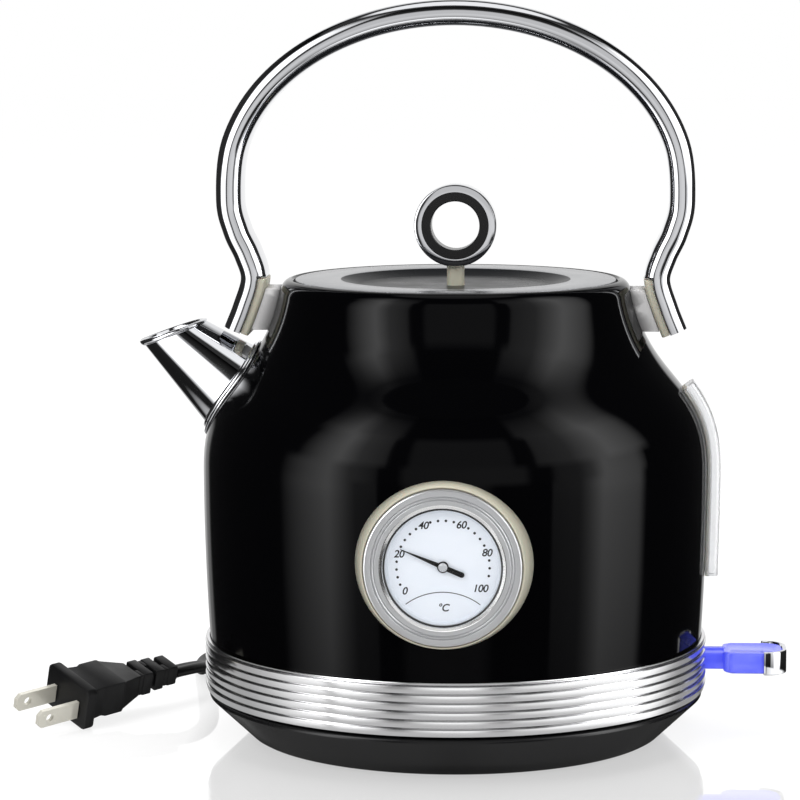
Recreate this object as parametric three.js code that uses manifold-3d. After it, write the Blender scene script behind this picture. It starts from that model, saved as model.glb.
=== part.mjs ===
// An electric kettle on its round power base, built as an assembly of named pieces.
// Sizes are in millimetres and angles in degrees. The origin is on the kettle's axis, on the table:
// +X is the side of the switch, -X the spout, -Y the front with the temperature gauge, +Z up.
import * as THREE from "three";
import { mergeVertices } from "three/addons/utils/BufferGeometryUtils.js";
import Module from "manifold-3d";

const wasm = await Module();
wasm.setup();

// ---------------------------------------------------------------- driving dimensions
const bodyRadius = 84.9; // the kettle's widest: the places of the other pieces follow it
const gap = 0.3; // between pieces that nest or stand beside each other
const sheet = 0.8; // steel sheet of the shell and the lid
const wall = 2; // wall of the plastic mouldings
const bigSides = 32; // facets round the large pieces
const smallSides = 16; // facets round the small ones

// Power base
const footTaper = 2; // how much narrower the kettle is behind the trim band
const bodyFootRadius = bodyRadius - footTaper;
const baseTopZ = 16;
const baseLedge = 0.6; // how far the base reaches beyond the kettle's foot
const baseTopRadius = bodyFootRadius + baseLedge;
const baseFlare = 14; // how much narrower the base is at its bottom
const baseBottomRadius = baseTopRadius - baseFlare;
const baseEdge = 1.5; // rounding of the top edge
const footHeight = 1.2; // from the table to the bottom plate
const footSink = 1; // of a foot in its pocket
const footRadius = 6;
const footCount = 4;
const footAngle = 45; // the first foot's, from +X
const footMargin = 12.5; // from the bottom's edge to a foot's centre
const footCircle = baseBottomRadius - footMargin;
const baseScrewCount = 3;
const baseScrewAngle = 30;
const baseScrewCircle = 40;
const baseScrewHead = 3;
const baseScrewHeadHeight = 0.9;
const baseScrewSink = 1.2; // depth of the counterbore
const baseScrewShank = 1.4;
const baseScrewLength = 9;
const bossRadius = 4.5;

// The round plug-in connector between the base and the kettle
const towerRadius = 13;
const towerHeight = 10.5; // above the base
const towerFlange = 5; // width of its flange
const grooveInnerRadius = 7;
const grooveOuterRadius = 9.5;
const grooveDepth = 8;
const earthPinRadius = 2.6;
const earthPinHeight = 13; // above the base
const socketWall = 2.6;
const socketFlange = 4;
const socketDepth = 11.5; // from its mouth to its roof
const socketRoof = 3;

// Kettle body
const liftGap = 0.3; // between the base and the kettle that stands on it
const barrelZ = 62; // where the side's curve is pulled outwards
const shoulderZ = 91.5; // where the shoulder begins
const shoulderReach = 30; // how far the side runs on before it turns inwards
const neckInset = 25.5;
const neckRadius = bodyRadius - neckInset;
const neckZ = 148.4;
const neckFlare = 6.7; // how far the shoulder swings out below the neck
const neckDrop = 28.9; // and over what height
const bodyTopZ = 154.5;
const rimWidth = 5;
const lidOpening = neckRadius - rimWidth; // radius of the opening
const rimRound = 0.9; // how far the rim leans in below its top
const ledgeWidth = 4;
const ledgeDrop = 3; // below the rim
const neckLip = 4; // height of the inner collar

// Trim band
const bandBottomZ = 16.8;
const bandTopZ = 34.3;
const bandCrest = 2.1; // proud of the shell
const bandRoot = 1.1;
const bandOverlap = 4; // of the barrel's curve behind the band
const ribCount = 6;

// Bottom of the kettle
const coverFloor = 2;
const coverWallHeight = 10;
const plateZ = 38; // underside of the heating plate
const plateThickness = 1.2;
const plateSkirt = 4;
const spreaderRadius = 46;
const spreaderThickness = 3;
const elementCircle = 38;
const elementRadius = 3.5;
const elementArc = 310;
const controlRadius = 28;
const controlArmWidth = 14;
const controlArmLength = 20;
const steamTubeRadius = 4;
const steamTubeBore = 3;
const steamTubeInset = 9.4; // from the neck
const steamTubeX = neckRadius - steamTubeInset;
const steamTubeY = 22;
const steamTubeTopZ = 138;

// Spout: the highest and lowest points of its mouth and of its foot, in X from the widest radius
const mouthTopOut = 0.5;
const mouthTopZ = 140.4;
const mouthBottomOut = 21.3;
const mouthBottomZ = 133.2;
const spoutFootTopIn = 17.7;
const spoutFootTopZ = 130.9;
const spoutFootBottomIn = 1;
const spoutFootBottomZ = 104.8;
const mouthTop = new THREE.Vector2(-bodyRadius - mouthTopOut, mouthTopZ);
const mouthBottom = new THREE.Vector2(-bodyRadius - mouthBottomOut, mouthBottomZ);
const spoutFootTop = new THREE.Vector2(-bodyRadius + spoutFootTopIn, spoutFootTopZ);
const spoutFootBottom = new THREE.Vector2(-bodyRadius + spoutFootBottomIn, spoutFootBottomZ);
const spoutReach = 1.5; // the mouth is at 0, the foot at 1, and the rest runs on into the body
const mouthHalfWidth = 9.5;
const spoutFootHalfWidth = 17;
const spoutWall = 1;
const spoutFlange = 2.6; // width of the flange round the foot
const spoutFlangeHeight = 1.6;
const filterSlot = 2;
const filterPitch = 4.8;
const filterReach = 8; // half the length of the middle slot
const filterShare = 0.75; // of the way from the mouth to the foot

// Handle: half an ellipse on two inward bends
const handleCentreZ = 186;
const handleOverhang = 16.4; // beyond the neck
const handleHalfWidth = neckRadius + handleOverhang;
const handleRise = 57;
const handleWaistOut = 8;
const handleWaistX = neckRadius + handleWaistOut;
const handleWaistZ = 154.5;
const handleEndOut = 14.6;
const handleEndX = neckRadius + handleEndOut;
const handleEndZ = 135.5;
const handleThickness = 8.6;
const handleDepth = 20;
const handleBevel = 2;
const padThickness = 2.5;
const padDepth = 18;
const padStart = 2; // above the hoop's end
const padLength = 20;
const bracketBottomZ = 137.5;
const bracketTopZ = 151.5;
const bracketDepth = 15;
const handleScrewZ = 144.5;
const handleScrewRadius = 1.8;
const handleScrewHead = 3.6;
const handleScrewHeadHeight = 2;
const handleScrewBite = 5; // length in the hoop

// Temperature gauge on the front
const gaugeZ = 72;
const gaugeSides = 24;
const gaugeProud = 5.6; // of the kettle's widest
const gaugeFace = bodyRadius + gaugeProud;
const bezelBackRadius = 28.2;
const bezelFrontRadius = 25.3;
const gaugeRingRadius = 25;
const gaugeRingThickness = 2;
const gaugeRingGroove = 0.5;
const gaugeRingChamfer = 0.6;
const gaugeGrooveRadius = 22.2;
const gaugeSightRadius = 19.5;
const dialRadius = 18.5;
const lensSink = 0.9; // behind the ring's face
const lensThickness = 1;
const dialThickness = 0.5;
const needleSpace = 1.6; // between dial and lens
const needleThickness = 0.4;
const needleTip = 14.4;
const needleTail = 7.2;
const needleHalfWidth = 0.9;
const needleHub = 1.8;
const needleAngle = 157.5; // from +X, the photographed 23 degrees Celsius
const shaftRadius = 0.6;
const panThickness = 0.8;
const shaftBearing = 6; // length in the stem
const stemRadius = 5;
const stemLength = 14;
const probeRadius = 2;
const probeLength = 22;
const nutRadius = 8.5;
const nutThickness = 4;
const sealThickness = 1.2;

// Water window on the right
const windowBottomZ = 55;
const windowTopZ = 121;
const windowWidth = 14;
const windowProud = 4.3;
const windowWall = 1.6;
const backingThickness = 0.9;
const backingMargin = 1.2;
const portRadius = 2.5;
const portInset = 8; // from each end of the window

// Lid and its knob
const lidDishOuter = 38.4;
const lidDishInner = 33.3;
const lidDishDepth = 2.3;
const lidEdgeHeight = 2.2;
const lidEdgeRound = 0.5;
const innerCapDepth = 10;
const innerCapWall = 2;
const sealWidth = 2.4;
const sealHeight = 3;
const knobRise = 17.9; // of its centre above the lid
const knobZ = bodyTopZ + knobRise;
const knobRadius = 13.75;
const knobFace = 2.5;
const knobInsertWidth = 3;
const knobDepth = 10;
const postRadius = 2.95;
const knobScrewRadius = 1.5;
const knobScrewHead = 3;
const knobScrewHeadHeight = 1.5;
const knobScrewBite = 4;

// Switch lever
const leverZ = 25.8;
const pivotInset = 8.9; // from the foot
const pivotX = bodyFootRadius - pivotInset;
const pivotRadius = 1.5;
const hubRadius = 3.6;
const leverNeckWidth = 12;
const leverNeckThickness = 5.6;
const leverPaddleOut = 7.6; // where the paddle begins, from the foot
const leverPaddleX = bodyFootRadius + leverPaddleOut;
const leverReach = 29.1;
const leverTipX = bodyFootRadius + leverReach;
const leverWidth = 18.5;
const leverThickness = 7.6;
const leverCorner = 6;
const leverTail = 8; // behind the pivot
const tipLength = 8;
const tipThickness = 1;
const leverLift = 12; // degrees, from on to off
const earThickness = 2;
const ledRadius = 1.5;
const ledLength = 5;
const ledInset = 16; // from the pivot
const ledX = pivotX - ledInset;

// Cord and plug
const glandX = 42;
const glandZ = 8.8;
const glandFlange = 5.2;
const glandRadius = 5.5;
const glandNeck = 4.3;
const glandTip = 4.2;
const glandInset = 10.5; // of its taper from the base's edge
const glandInside = 33;
const glandTaper = 24;
const glandTaperY = baseTopRadius - glandInset;
const glandStartY = glandTaperY - glandInside;
const glandEndY = glandTaperY + glandTaper;
const cordWidth = 7;
const cordThickness = 3.6;
const coilX = -4.5;
const coilOut = 35; // from the strain relief's end to its centre
const coilY = glandEndY + coilOut;
const coilRadius = 37;
const coilHeight = 13;
const tableGap = 0.1; // under the coil
const cordBaseRadius = 83.5; // of the base that the cord's places are set out for
const baseGrowth = baseTopRadius - cordBaseRadius;
const plugOut = 18; // from the base's edge to where the cord meets the plug
const plugX = -baseTopRadius - plugOut;
const plugY = 31;
const plugYaw = 226;
const plugPitch = 4;
const plugRoll = -18;
const plugHalfWidth = 12;
const plugFlatness = 0.7; // height over width
const plugFlange = 4; // thickness
const plugStep = 2.5; // from the flange in to the grip
const plugGripZ = 6.5; // where the grip begins, from the flange's face
const plugGripEnd = 18;
const plugTaper = 6;
const plugTaperEnd = 26;
const plugReliefWall = 1.4; // round the cord at the relief's thick end
const plugReliefTip = 0.6;
const plugReliefZ = 28;
const plugLength = 45.5;
const bladeWidth = 6.35;
const bladeThickness = 1.5;
const bladeLength = 17;
const bladeSpacing = 12.7;
const bladeHole = 1.55;
const bladeHoleInset = 4.8; // from the blade's tip
const bladeCorner = 1.5;

// ---------------------------------------------------------------- helpers
const v2 = (x, y) => new THREE.Vector2(x, y);
const v3 = (x, y, z) => new THREE.Vector3(x, y, z);
const rad = THREE.MathUtils.degToRad;

// A closed geometry as a solid that can be joined and cut.
function solid(geometry) {
  const bare = new THREE.BufferGeometry();
  bare.setAttribute("position", geometry.getAttribute("position"));
  if (geometry.index) bare.setIndex(geometry.index);
  const merged = mergeVertices(bare, 1e-4);
  return new wasm.Manifold(
    new wasm.Mesh({
      numProp: 3,
      vertProperties: merged.attributes.position.array,
      triVerts: new Uint32Array(merged.index.array),
    }),
  );
}

// A solid as a geometry for a mesh.
function geometryOf(body) {
  const made = body.getMesh();
  const geometry = new THREE.BufferGeometry();
  geometry.setAttribute("position", new THREE.BufferAttribute(made.vertProperties, 3));
  geometry.setIndex(new THREE.BufferAttribute(made.triVerts, 1));
  return geometry;
}

// A profile of [radius, z] pairs, anticlockwise from the axis, turned about Z.
function turned(profile, sides = bigSides) {
  const points = profile.map((p) => (p.isVector2 ? p : v2(...p)));
  return new THREE.LatheGeometry(points, sides).rotateX(Math.PI / 2);
}

// The same for a ring: the profile closes on itself.
function ring(profile, sides = bigSides) {
  return turned([...profile, profile[0]], sides);
}

// A ring with a plain rectangular section.
function plainRing(inner, outer, bottom, top, sides = bigSides) {
  return ring([[inner, bottom], [outer, bottom], [outer, top], [inner, top]], sides);
}

function disc(radius, bottom, top, sides = bigSides) {
  return turned([[0, bottom], [radius, bottom], [radius, top], [0, top]], sides);
}

// Turns a piece made about +Z so that it looks along -Y, as the gauge and the knob do.
function facingFront(geometry, z) {
  return geometry.rotateX(Math.PI / 2).translate(0, 0, z);
}

// A round bar along X, from x0 to x1.
function barX(radius, x0, x1, y, z, sides = smallSides) {
  return disc(radius, x0, x1, sides).rotateY(Math.PI / 2).translate(0, y, z);
}

// A round bar along Y, from y0 to y1.
function barY(radius, y0, y1, x, z, sides = smallSides) {
  return disc(radius, -y1, -y0, sides).rotateX(Math.PI / 2).translate(x, 0, z);
}

function block(x0, x1, y0, y1, z0, z1) {
  const geometry = new THREE.BoxGeometry(x1 - x0, y1 - y0, z1 - z0);
  return geometry.translate((x0 + x1) / 2, (y0 + y1) / 2, (z0 + z1) / 2);
}

// An outline of (x, z) points, made thick along Y about y = 0.
function slab(outline, depth) {
  const settings = { depth, bevelEnabled: false, curveSegments: 4 };
  const geometry = new THREE.ExtrudeGeometry(new THREE.Shape(outline), settings);
  return geometry.translate(0, 0, -depth / 2).rotateX(Math.PI / 2);
}

// Moves every vertex of a geometry by a rule.
function remapped(geometry, rule) {
  const place = geometry.getAttribute("position");
  for (let i = 0; i < place.count; i++) {
    const p = rule(place.getX(i), place.getY(i), place.getZ(i));
    place.setXYZ(i, p.x, p.y, p.z);
  }
  return geometry;
}

function around(count, first, make) {
  return Array.from({ length: count }, (_, i) => make(rad(first + (360 * i) / count), i));
}

const joined = (solids) => solids.reduce((a, b) => a.add(b));
const without = (body, cuts) => cuts.reduce((a, b) => a.subtract(b), body);

// ---------------------------------------------------------------- materials
function finish(color, roughness, metalness = 0, opacity = 1) {
  return () =>
    new THREE.MeshStandardMaterial({
      color,
      roughness,
      metalness,
      opacity,
      transparent: opacity < 1,
    });
}
const blackPaint = finish("#0b0b0d", 0.12);
const chrome = finish("#d9dadd", 0.08, 1);
const brushedSteel = finish("#b9babd", 0.3, 1);
const beigePlastic = finish("#bfbaa8", 0.45);
const greyPlastic = finish("#c0bfbf", 0.45);
const blackPlastic = finish("#232323", 0.5);
const darkPlastic = finish("#2a2a2e", 0.35);
const clearPlastic = finish("#dde1e4", 0.1, 0, 0.45);
const bluePlastic = finish("#5c68ff", 0.15, 0, 0.7);
const dialWhite = finish("#dfe6f2", 0.6);
const clearGlass = finish("#f4f8fa", 0.03, 0, 0.25);
const rubber = finish("#1c1c1c", 0.8);
const silicone = finish("#d8d8d4", 0.6);
const brass = finish("#b99b52", 0.35, 1);
const aluminium = finish("#a9abae", 0.4, 1);

const kettle = new THREE.Group();

function add(name, shape, material, parent = kettle) {
  const geometry = shape.isBufferGeometry ? shape : geometryOf(shape);
  const mesh = new THREE.Mesh(geometry, material());
  mesh.name = name;
  parent.add(mesh);
  return mesh;
}

// ---------------------------------------------------------------- the shell's outline
const bodyBottomZ = baseTopZ + liftGap + coverFloor + gap;
const barrel = new THREE.QuadraticBezierCurve(
  v2(bodyFootRadius, bandTopZ - bandOverlap),
  v2(bodyRadius, barrelZ),
  v2(bodyRadius, shoulderZ),
);
const shoulder = new THREE.CubicBezierCurve(
  barrel.v2,
  v2(bodyRadius, shoulderZ + shoulderReach),
  v2(neckRadius + neckFlare, neckZ - neckDrop),
  v2(neckRadius, neckZ),
);
const rim = new THREE.QuadraticBezierCurve(
  shoulder.v3,
  v2(neckRadius - rimRound, bodyTopZ - rimRound / 4.5),
  v2(lidOpening + sheet, bodyTopZ),
);

// The outline from the foot to the rim, moved outwards by an offset.
function bodyOutline(offset) {
  const points = [v2(bodyFootRadius + offset, bodyBottomZ)];
  for (const [curve, steps] of [[barrel, 3], [shoulder, 8], [rim, 3]]) {
    for (let i = curve === barrel ? 0 : 1; i <= steps; i++) {
      const tangent = curve.getTangent(i / steps);
      const point = curve.getPoint(i / steps);
      points.push(point.add(v2(tangent.y, -tangent.x).multiplyScalar(offset)));
    }
  }
  return points;
}

// The shell's outer radius at a height.
function bodyRadiusAt(z) {
  const outline = bodyOutline(0);
  const i = Math.max(1, outline.findIndex((p) => p.y >= z));
  const low = outline[i - 1];
  const high = outline[i];
  return low.x + ((high.x - low.x) * (z - low.y)) / (high.y - low.y);
}

// Everything inside the shell's outer surface, grown by an offset.
function bodySolid(offset) {
  const outline = bodyOutline(offset);
  const top = outline[outline.length - 1];
  const below = bodyBottomZ - coverWallHeight;
  return solid(turned([[0, below], [outline[0].x, below], ...outline, [0, top.y]]));
}
const bodyAndGap = bodySolid(gap);

// ---------------------------------------------------------------- power base
const flankSlope = (baseTopRadius - baseBottomRadius) / (baseTopZ - baseEdge - footHeight);
const baseRoofZ = baseTopZ - wall;
const basePlateRadius = baseBottomRadius - wall - gap;
const basePlateTopZ = footHeight + wall;
const flankRadius = (z) => baseBottomRadius + flankSlope * (z - footHeight);
const flankInset = wall * Math.hypot(1, flankSlope);
const towerHole = towerRadius + gap;

function baseShell() {
  const shell = ring([
    [baseBottomRadius - wall, footHeight],
    [baseBottomRadius, footHeight],
    [baseTopRadius, baseTopZ - baseEdge],
    [baseTopRadius - baseEdge / 3, baseTopZ - baseEdge / 3],
    [baseTopRadius - baseEdge, baseTopZ],
    [towerHole, baseTopZ],
    [towerHole, baseRoofZ],
    [flankRadius(baseRoofZ) - flankInset, baseRoofZ],
    [baseBottomRadius - wall, basePlateTopZ + gap],
  ]);
  const bosses = around(baseScrewCount, baseScrewAngle, (a) => {
    const boss = disc(bossRadius, basePlateTopZ + gap, baseTopZ - gap, 12);
    return solid(boss.translate(baseScrewCircle * Math.cos(a), baseScrewCircle * Math.sin(a), 0));
  });
  const bores = around(baseScrewCount, baseScrewAngle, (a) => {
    const bore = disc(baseScrewShank + gap, footHeight, basePlateTopZ + baseScrewLength, 8);
    return solid(bore.translate(baseScrewCircle * Math.cos(a), baseScrewCircle * Math.sin(a), 0));
  });
  const glandHole = solid(barY(glandNeck + gap, glandStartY, glandTaperY + glandRadius, glandX, glandZ));
  return without(joined([solid(shell), ...bosses]), [...bores, glandHole]);
}

function basePlate() {
  const pockets = around(footCount, footAngle, (a) => {
    const pocket = disc(footRadius + gap, 0, footHeight + footSink, 12);
    return solid(pocket.translate(footCircle * Math.cos(a), footCircle * Math.sin(a), 0));
  });
  const holes = around(baseScrewCount, baseScrewAngle, (a) => {
    const x = baseScrewCircle * Math.cos(a);
    const y = baseScrewCircle * Math.sin(a);
    const bore = solid(disc(baseScrewShank + gap, 0, baseTopZ, 8).translate(x, y, 0));
    return bore.add(solid(disc(baseScrewHead + gap, 0, footHeight + baseScrewSink, 8).translate(x, y, 0)));
  });
  return without(solid(disc(basePlateRadius, footHeight, basePlateTopZ)), [...pockets, ...holes]);
}

function connectorTower() {
  const top = baseTopZ + towerHeight;
  const bore = earthPinRadius + gap;
  const flangeTop = baseRoofZ - gap;
  const flangeBottom = flangeTop - wall;
  return ring([
    [bore, flangeBottom],
    [towerRadius + towerFlange, flangeBottom],
    [towerRadius + towerFlange, flangeTop],
    [towerRadius, flangeTop],
    [towerRadius, top],
    [grooveOuterRadius, top],
    [grooveOuterRadius, top - grooveDepth],
    [grooveInnerRadius, top - grooveDepth],
    [grooveInnerRadius, top],
    [bore, top],
  ], smallSides);
}

function buildPowerBase() {
  add("base_shell", baseShell(), blackPlastic);
  add("base_bottom_plate", basePlate(), blackPlastic);
  add("base_connector", connectorTower(), darkPlastic);
  const pinBottom = baseRoofZ - gap - wall;
  add("base_earth_pin", disc(earthPinRadius, pinBottom, baseTopZ + earthPinHeight, smallSides), brass);
  around(footCount, footAngle, (a, i) => {
    const foot = add("base_foot_" + (i + 1), disc(footRadius, 0, footHeight + footSink, 12), rubber);
    foot.position.set(footCircle * Math.cos(a), footCircle * Math.sin(a), 0);
  });
  around(baseScrewCount, baseScrewAngle, (a, i) => {
    const seat = footHeight + baseScrewSink;
    const screw = turned([
      [0, seat - baseScrewHeadHeight],
      [baseScrewHead, seat - baseScrewHeadHeight],
      [baseScrewHead, seat],
      [baseScrewShank, seat],
      [baseScrewShank, seat + baseScrewLength],
      [0, seat + baseScrewLength],
    ], 12);
    const mesh = add("base_screw_" + (i + 1), screw, brushedSteel);
    mesh.position.set(baseScrewCircle * Math.cos(a), baseScrewCircle * Math.sin(a), 0);
  });
}

// ---------------------------------------------------------------- kettle body
const bottomZ = baseTopZ + liftGap; // lowest face of the kettle
const coverTopZ = bottomZ + coverFloor;
const coverWallRadius = bodyFootRadius - sheet - gap;
const socketInner = towerRadius + gap;
const socketOuter = socketInner + socketWall;
const socketRoofZ = bottomZ + socketDepth;
const socketTopZ = socketRoofZ + socketRoof;
const ledgeZ = bodyTopZ - ledgeDrop;
const ledgeInner = lidOpening - ledgeWidth;
const slotSide = leverNeckWidth / 2 + 2 * gap;

// The sweep of the lever through the band, the shell and the cover, as one block.
function leverSlot() {
  const outside = bodyFootRadius + bandCrest + gap;
  const lift = Math.tan(rad(leverLift)) * (outside - pivotX);
  const half = leverNeckThickness / 2;
  const low = leverZ - half - 2 * gap;
  const high = leverZ + half / Math.cos(rad(leverLift)) + lift + 2 * gap;
  return solid(block(pivotX, outside + leverPaddleOut, -slotSide, slotSide, low, high));
}

function bodyShell() {
  const outer = bodyOutline(0);
  const inner = bodyOutline(-sheet).reverse();
  const collar = [
    [lidOpening, bodyTopZ - sheet],
    [lidOpening, ledgeZ],
    [ledgeInner, ledgeZ],
    [ledgeInner, ledgeZ - neckLip],
    [ledgeInner + sheet, ledgeZ - neckLip],
    [ledgeInner + sheet, ledgeZ - sheet],
    [lidOpening + sheet, ledgeZ - sheet],
    [lidOpening + sheet, bodyTopZ - sheet - gap],
  ].map((p) => v2(...p));
  const profile = [...outer, ...collar, ...inner.slice(1)];
  const cuts = [leverSlot(), solid(spoutTube(-spoutWall, 0.4, spoutReach))];
  cuts.push(solid(barY(stemRadius + gap, -gaugeFace, -bodyRadius / 2, 0, gaugeZ)));
  return without(solid(ring(profile)), [...cuts, ...windowPorts(), handleBore(1), handleBore(-1)]);
}

function trimBand() {
  const root = bodyFootRadius + bandRoot;
  const crest = bodyFootRadius + bandCrest;
  const pitch = (bandTopZ - bandBottomZ) / ribCount;
  const profile = [[bodyFootRadius + gap, bandBottomZ]];
  for (let i = 0; i < ribCount; i++) {
    const z = bandBottomZ + i * pitch;
    profile.push([root, z], [crest, z + pitch / 2]);
  }
  profile.push([root, bandTopZ], [bodyFootRadius + gap, bandTopZ]);
  return without(solid(ring(profile)), [leverSlot(), bodyAndGap]);
}

function bottomCover() {
  const hole = socketOuter + gap;
  const cover = ring([
    [hole, bottomZ],
    [bodyFootRadius, bottomZ],
    [bodyFootRadius, coverTopZ],
    [coverWallRadius, coverTopZ],
    [coverWallRadius, coverTopZ + coverWallHeight],
    [coverWallRadius - wall, coverTopZ + coverWallHeight],
    [coverWallRadius - wall, coverTopZ],
    [hole, coverTopZ],
  ]);
  const earTop = leverZ + hubRadius;
  const low = coverTopZ - gap;
  const ears = [-1, 1].map((side) => {
    const [y0, y1] = side < 0 ? [-slotSide - earThickness, -slotSide] : [slotSide, slotSide + earThickness];
    return solid(block(pivotX - hubRadius, pivotX + hubRadius, y0, y1, low, earTop));
  });
  const pinReach = slotSide + 2 * earThickness;
  const pinHole = solid(barY(pivotRadius + gap, -pinReach, pinReach, pivotX, leverZ, 12));
  const postTop = leverZ - ledRadius - gap;
  const ledPost = solid(block(ledX, ledX + ledLength - ledRadius, -ledRadius, ledRadius, low, postTop));
  return without(joined([solid(cover), ...ears, ledPost]), [pinHole, leverSlot()]);
}

function connectorSocket() {
  return turned([
    [earthPinRadius + gap, socketRoofZ],
    [socketInner, socketRoofZ],
    [socketInner, bottomZ],
    [socketOuter, bottomZ],
    [socketOuter, coverTopZ],
    [socketOuter + socketFlange, coverTopZ],
    [socketOuter + socketFlange, coverTopZ + wall],
    [socketOuter, coverTopZ + wall],
    [socketOuter, socketTopZ],
    [earthPinRadius + gap, socketTopZ],
    [earthPinRadius + gap, socketRoofZ],
  ], smallSides);
}

function heatingPlate() {
  const radius = bodyRadiusAt(plateZ) - sheet - gap;
  const foot = bodyRadiusAt(plateZ - plateSkirt) - sheet - gap;
  const plate = turned([
    [0, plateZ],
    [radius - plateThickness, plateZ],
    [foot - plateThickness, plateZ - plateSkirt],
    [foot, plateZ - plateSkirt],
    [radius, plateZ + plateThickness],
    [0, plateZ + plateThickness],
  ]);
  const tube = disc(steamTubeRadius + gap, plateZ - plateSkirt, plateZ + plateSkirt, 16);
  return solid(plate).subtract(solid(tube.translate(steamTubeX, steamTubeY, 0)));
}

function heatingElement() {
  const z = plateZ - spreaderThickness - elementRadius - gap;
  const points = [];
  const steps = 24;
  for (let i = 0; i <= steps; i++) {
    const a = rad(180 - elementArc / 2 + (elementArc * i) / steps);
    points.push(v3(elementCircle * Math.cos(a), elementCircle * Math.sin(a), z));
  }
  const section = new THREE.Shape().absarc(0, 0, elementRadius, 0, 2 * Math.PI);
  const path = new THREE.CatmullRomCurve3(points);
  return new THREE.ExtrudeGeometry(section, { steps, extrudePath: path, curveSegments: 5 });
}

// A round control on the socket, with an arm that runs through the element's gap to the switch.
function thermostatControl() {
  const top = plateZ - spreaderThickness - gap;
  const body = solid(disc(controlRadius, socketTopZ, top, smallSides));
  const half = controlArmWidth / 2;
  const reach = controlRadius + controlArmLength;
  return body.add(solid(block(0, reach, -half, half, socketTopZ, socketTopZ + wall)));
}

function buildBody() {
  add("body_shell", bodyShell(), blackPaint);
  add("trim_band", trimBand(), brushedSteel);
  add("bottom_cover", bottomCover(), blackPlastic);
  add("connector_socket", connectorSocket(), darkPlastic);
  add("heating_plate", heatingPlate(), brushedSteel);
  add("heat_spreader", disc(spreaderRadius, plateZ - spreaderThickness, plateZ), aluminium);
  add("heating_element", heatingElement(), aluminium);
  add("thermostat_control", thermostatControl(), blackPlastic);
  const tube = plainRing(steamTubeBore, steamTubeRadius, coverTopZ + wall, steamTubeTopZ, 16);
  add("steam_tube", tube, silicone).position.set(steamTubeX, steamTubeY, 0);
  const led = barX(ledRadius, ledX, ledX + ledLength, 0, leverZ, 12);
  add("indicator_led", led, bluePlastic);
  const pinHalf = slotSide + earThickness;
  add("switch_pivot_pin", barY(pivotRadius, -pinHalf, pinHalf, pivotX, leverZ, 12), brushedSteel);
}

// ---------------------------------------------------------------- spout
// The body inside the spout's skin, grown by an offset, between two shares of the way to the foot.
function spoutTube(offset, from, to) {
  const profile = [[0, from], [1, from], [1, (from + to) / 2], [1, to], [0, to]];
  return remapped(turned(profile, smallSides), (x, y, share) => {
    const high = mouthTop.clone().lerp(spoutFootTop, share);
    const low = mouthBottom.clone().lerp(spoutFootBottom, share);
    const centre = high.clone().add(low).divideScalar(2);
    const up = high.clone().sub(low).divideScalar(2);
    const halfWidth = mouthHalfWidth + (spoutFootHalfWidth - mouthHalfWidth) * share;
    const along = x * (1 + offset / up.length());
    return v3(centre.x + up.x * along, -y * (halfWidth + offset), centre.y + up.y * along);
  });
}

function spout() {
  const passage = solid(spoutTube(-spoutWall, -0.2, spoutReach));
  const tube = solid(spoutTube(0, 0, spoutReach));
  const skirt = solid(spoutTube(spoutFlange, 0.5, spoutReach));
  const flange = skirt.intersect(bodySolid(gap + spoutFlangeHeight));
  return without(tube.add(flange), [passage, bodyAndGap]);
}

function spoutFilter() {
  const plate = solid(spoutTube(-spoutWall - gap, filterShare - 0.03, filterShare + 0.03));
  const centreAt = (share) => {
    const high = mouthTop.clone().lerp(spoutFootTop, share);
    return high.add(mouthBottom.clone().lerp(spoutFootBottom, share)).divideScalar(2);
  };
  const middle = centreAt(filterShare);
  const along = centreAt(1).sub(centreAt(0.5));
  const tilt = Math.atan2(along.x, along.y);
  const slots = [-2, -1, 0, 1, 2].map((column) => {
    const reach = filterReach - 1.5 * Math.abs(column);
    const slot = block(-reach, reach, -filterSlot / 2, filterSlot / 2, -filterReach, filterReach);
    slot.translate(0, column * filterPitch, 0).rotateY(tilt);
    return solid(slot.translate(middle.x, 0, middle.y));
  });
  return without(plate, slots);
}

// ---------------------------------------------------------------- handle
// The middle line of the hoop from its right end over the top to its left end, as (x, z).
function handleLine() {
  const right = [
    v2(handleEndX, handleEndZ),
    v2((handleEndX + handleWaistX) / 2 - 0.6, handleEndZ + 9.6),
    v2(handleWaistX, handleWaistZ),
    v2(handleWaistX + 2.2, handleWaistZ + 8),
    v2(handleHalfWidth - 2.6, handleCentreZ - 15.6),
  ];
  for (let a = -5; a < 90; a += 19) {
    const x = handleHalfWidth * Math.cos(rad(a));
    right.push(v2(x, handleCentreZ + handleRise * Math.sin(rad(a))));
  }
  const top = v2(0, handleCentreZ + handleRise);
  const left = right.map((p) => v2(-p.x, p.y)).reverse();
  return [...right, top, ...left].map((p) => v3(p.x, 0, p.y));
}
const handlePath = new THREE.CatmullRomCurve3(handleLine());

function handleHoop() {
  const half = handleThickness / 2;
  const deep = handleDepth / 2;
  const low = half - handleBevel;
  const near = deep - handleBevel;
  const section = new THREE.Shape([
    v2(-deep, -low), v2(-near, -half), v2(near, -half), v2(deep, -low),
    v2(deep, low), v2(near, half), v2(-near, half), v2(-deep, low),
  ]);
  const hoop = new THREE.ExtrudeGeometry(section, { steps: 42, extrudePath: handlePath });
  const bores = [-1, 1].map((side) => handleBore(side));
  return without(solid(hoop), bores);
}

// The hole for a handle screw, from the body into the hoop.
function handleBore(side) {
  const end = handleInnerX() + handleScrewBite + gap;
  const start = neckRadius / 2;
  const from = side < 0 ? -end : start;
  const to = side < 0 ? -start : end;
  return solid(barX(handleScrewRadius + gap, from, to, 0, handleScrewZ, 12));
}

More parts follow.
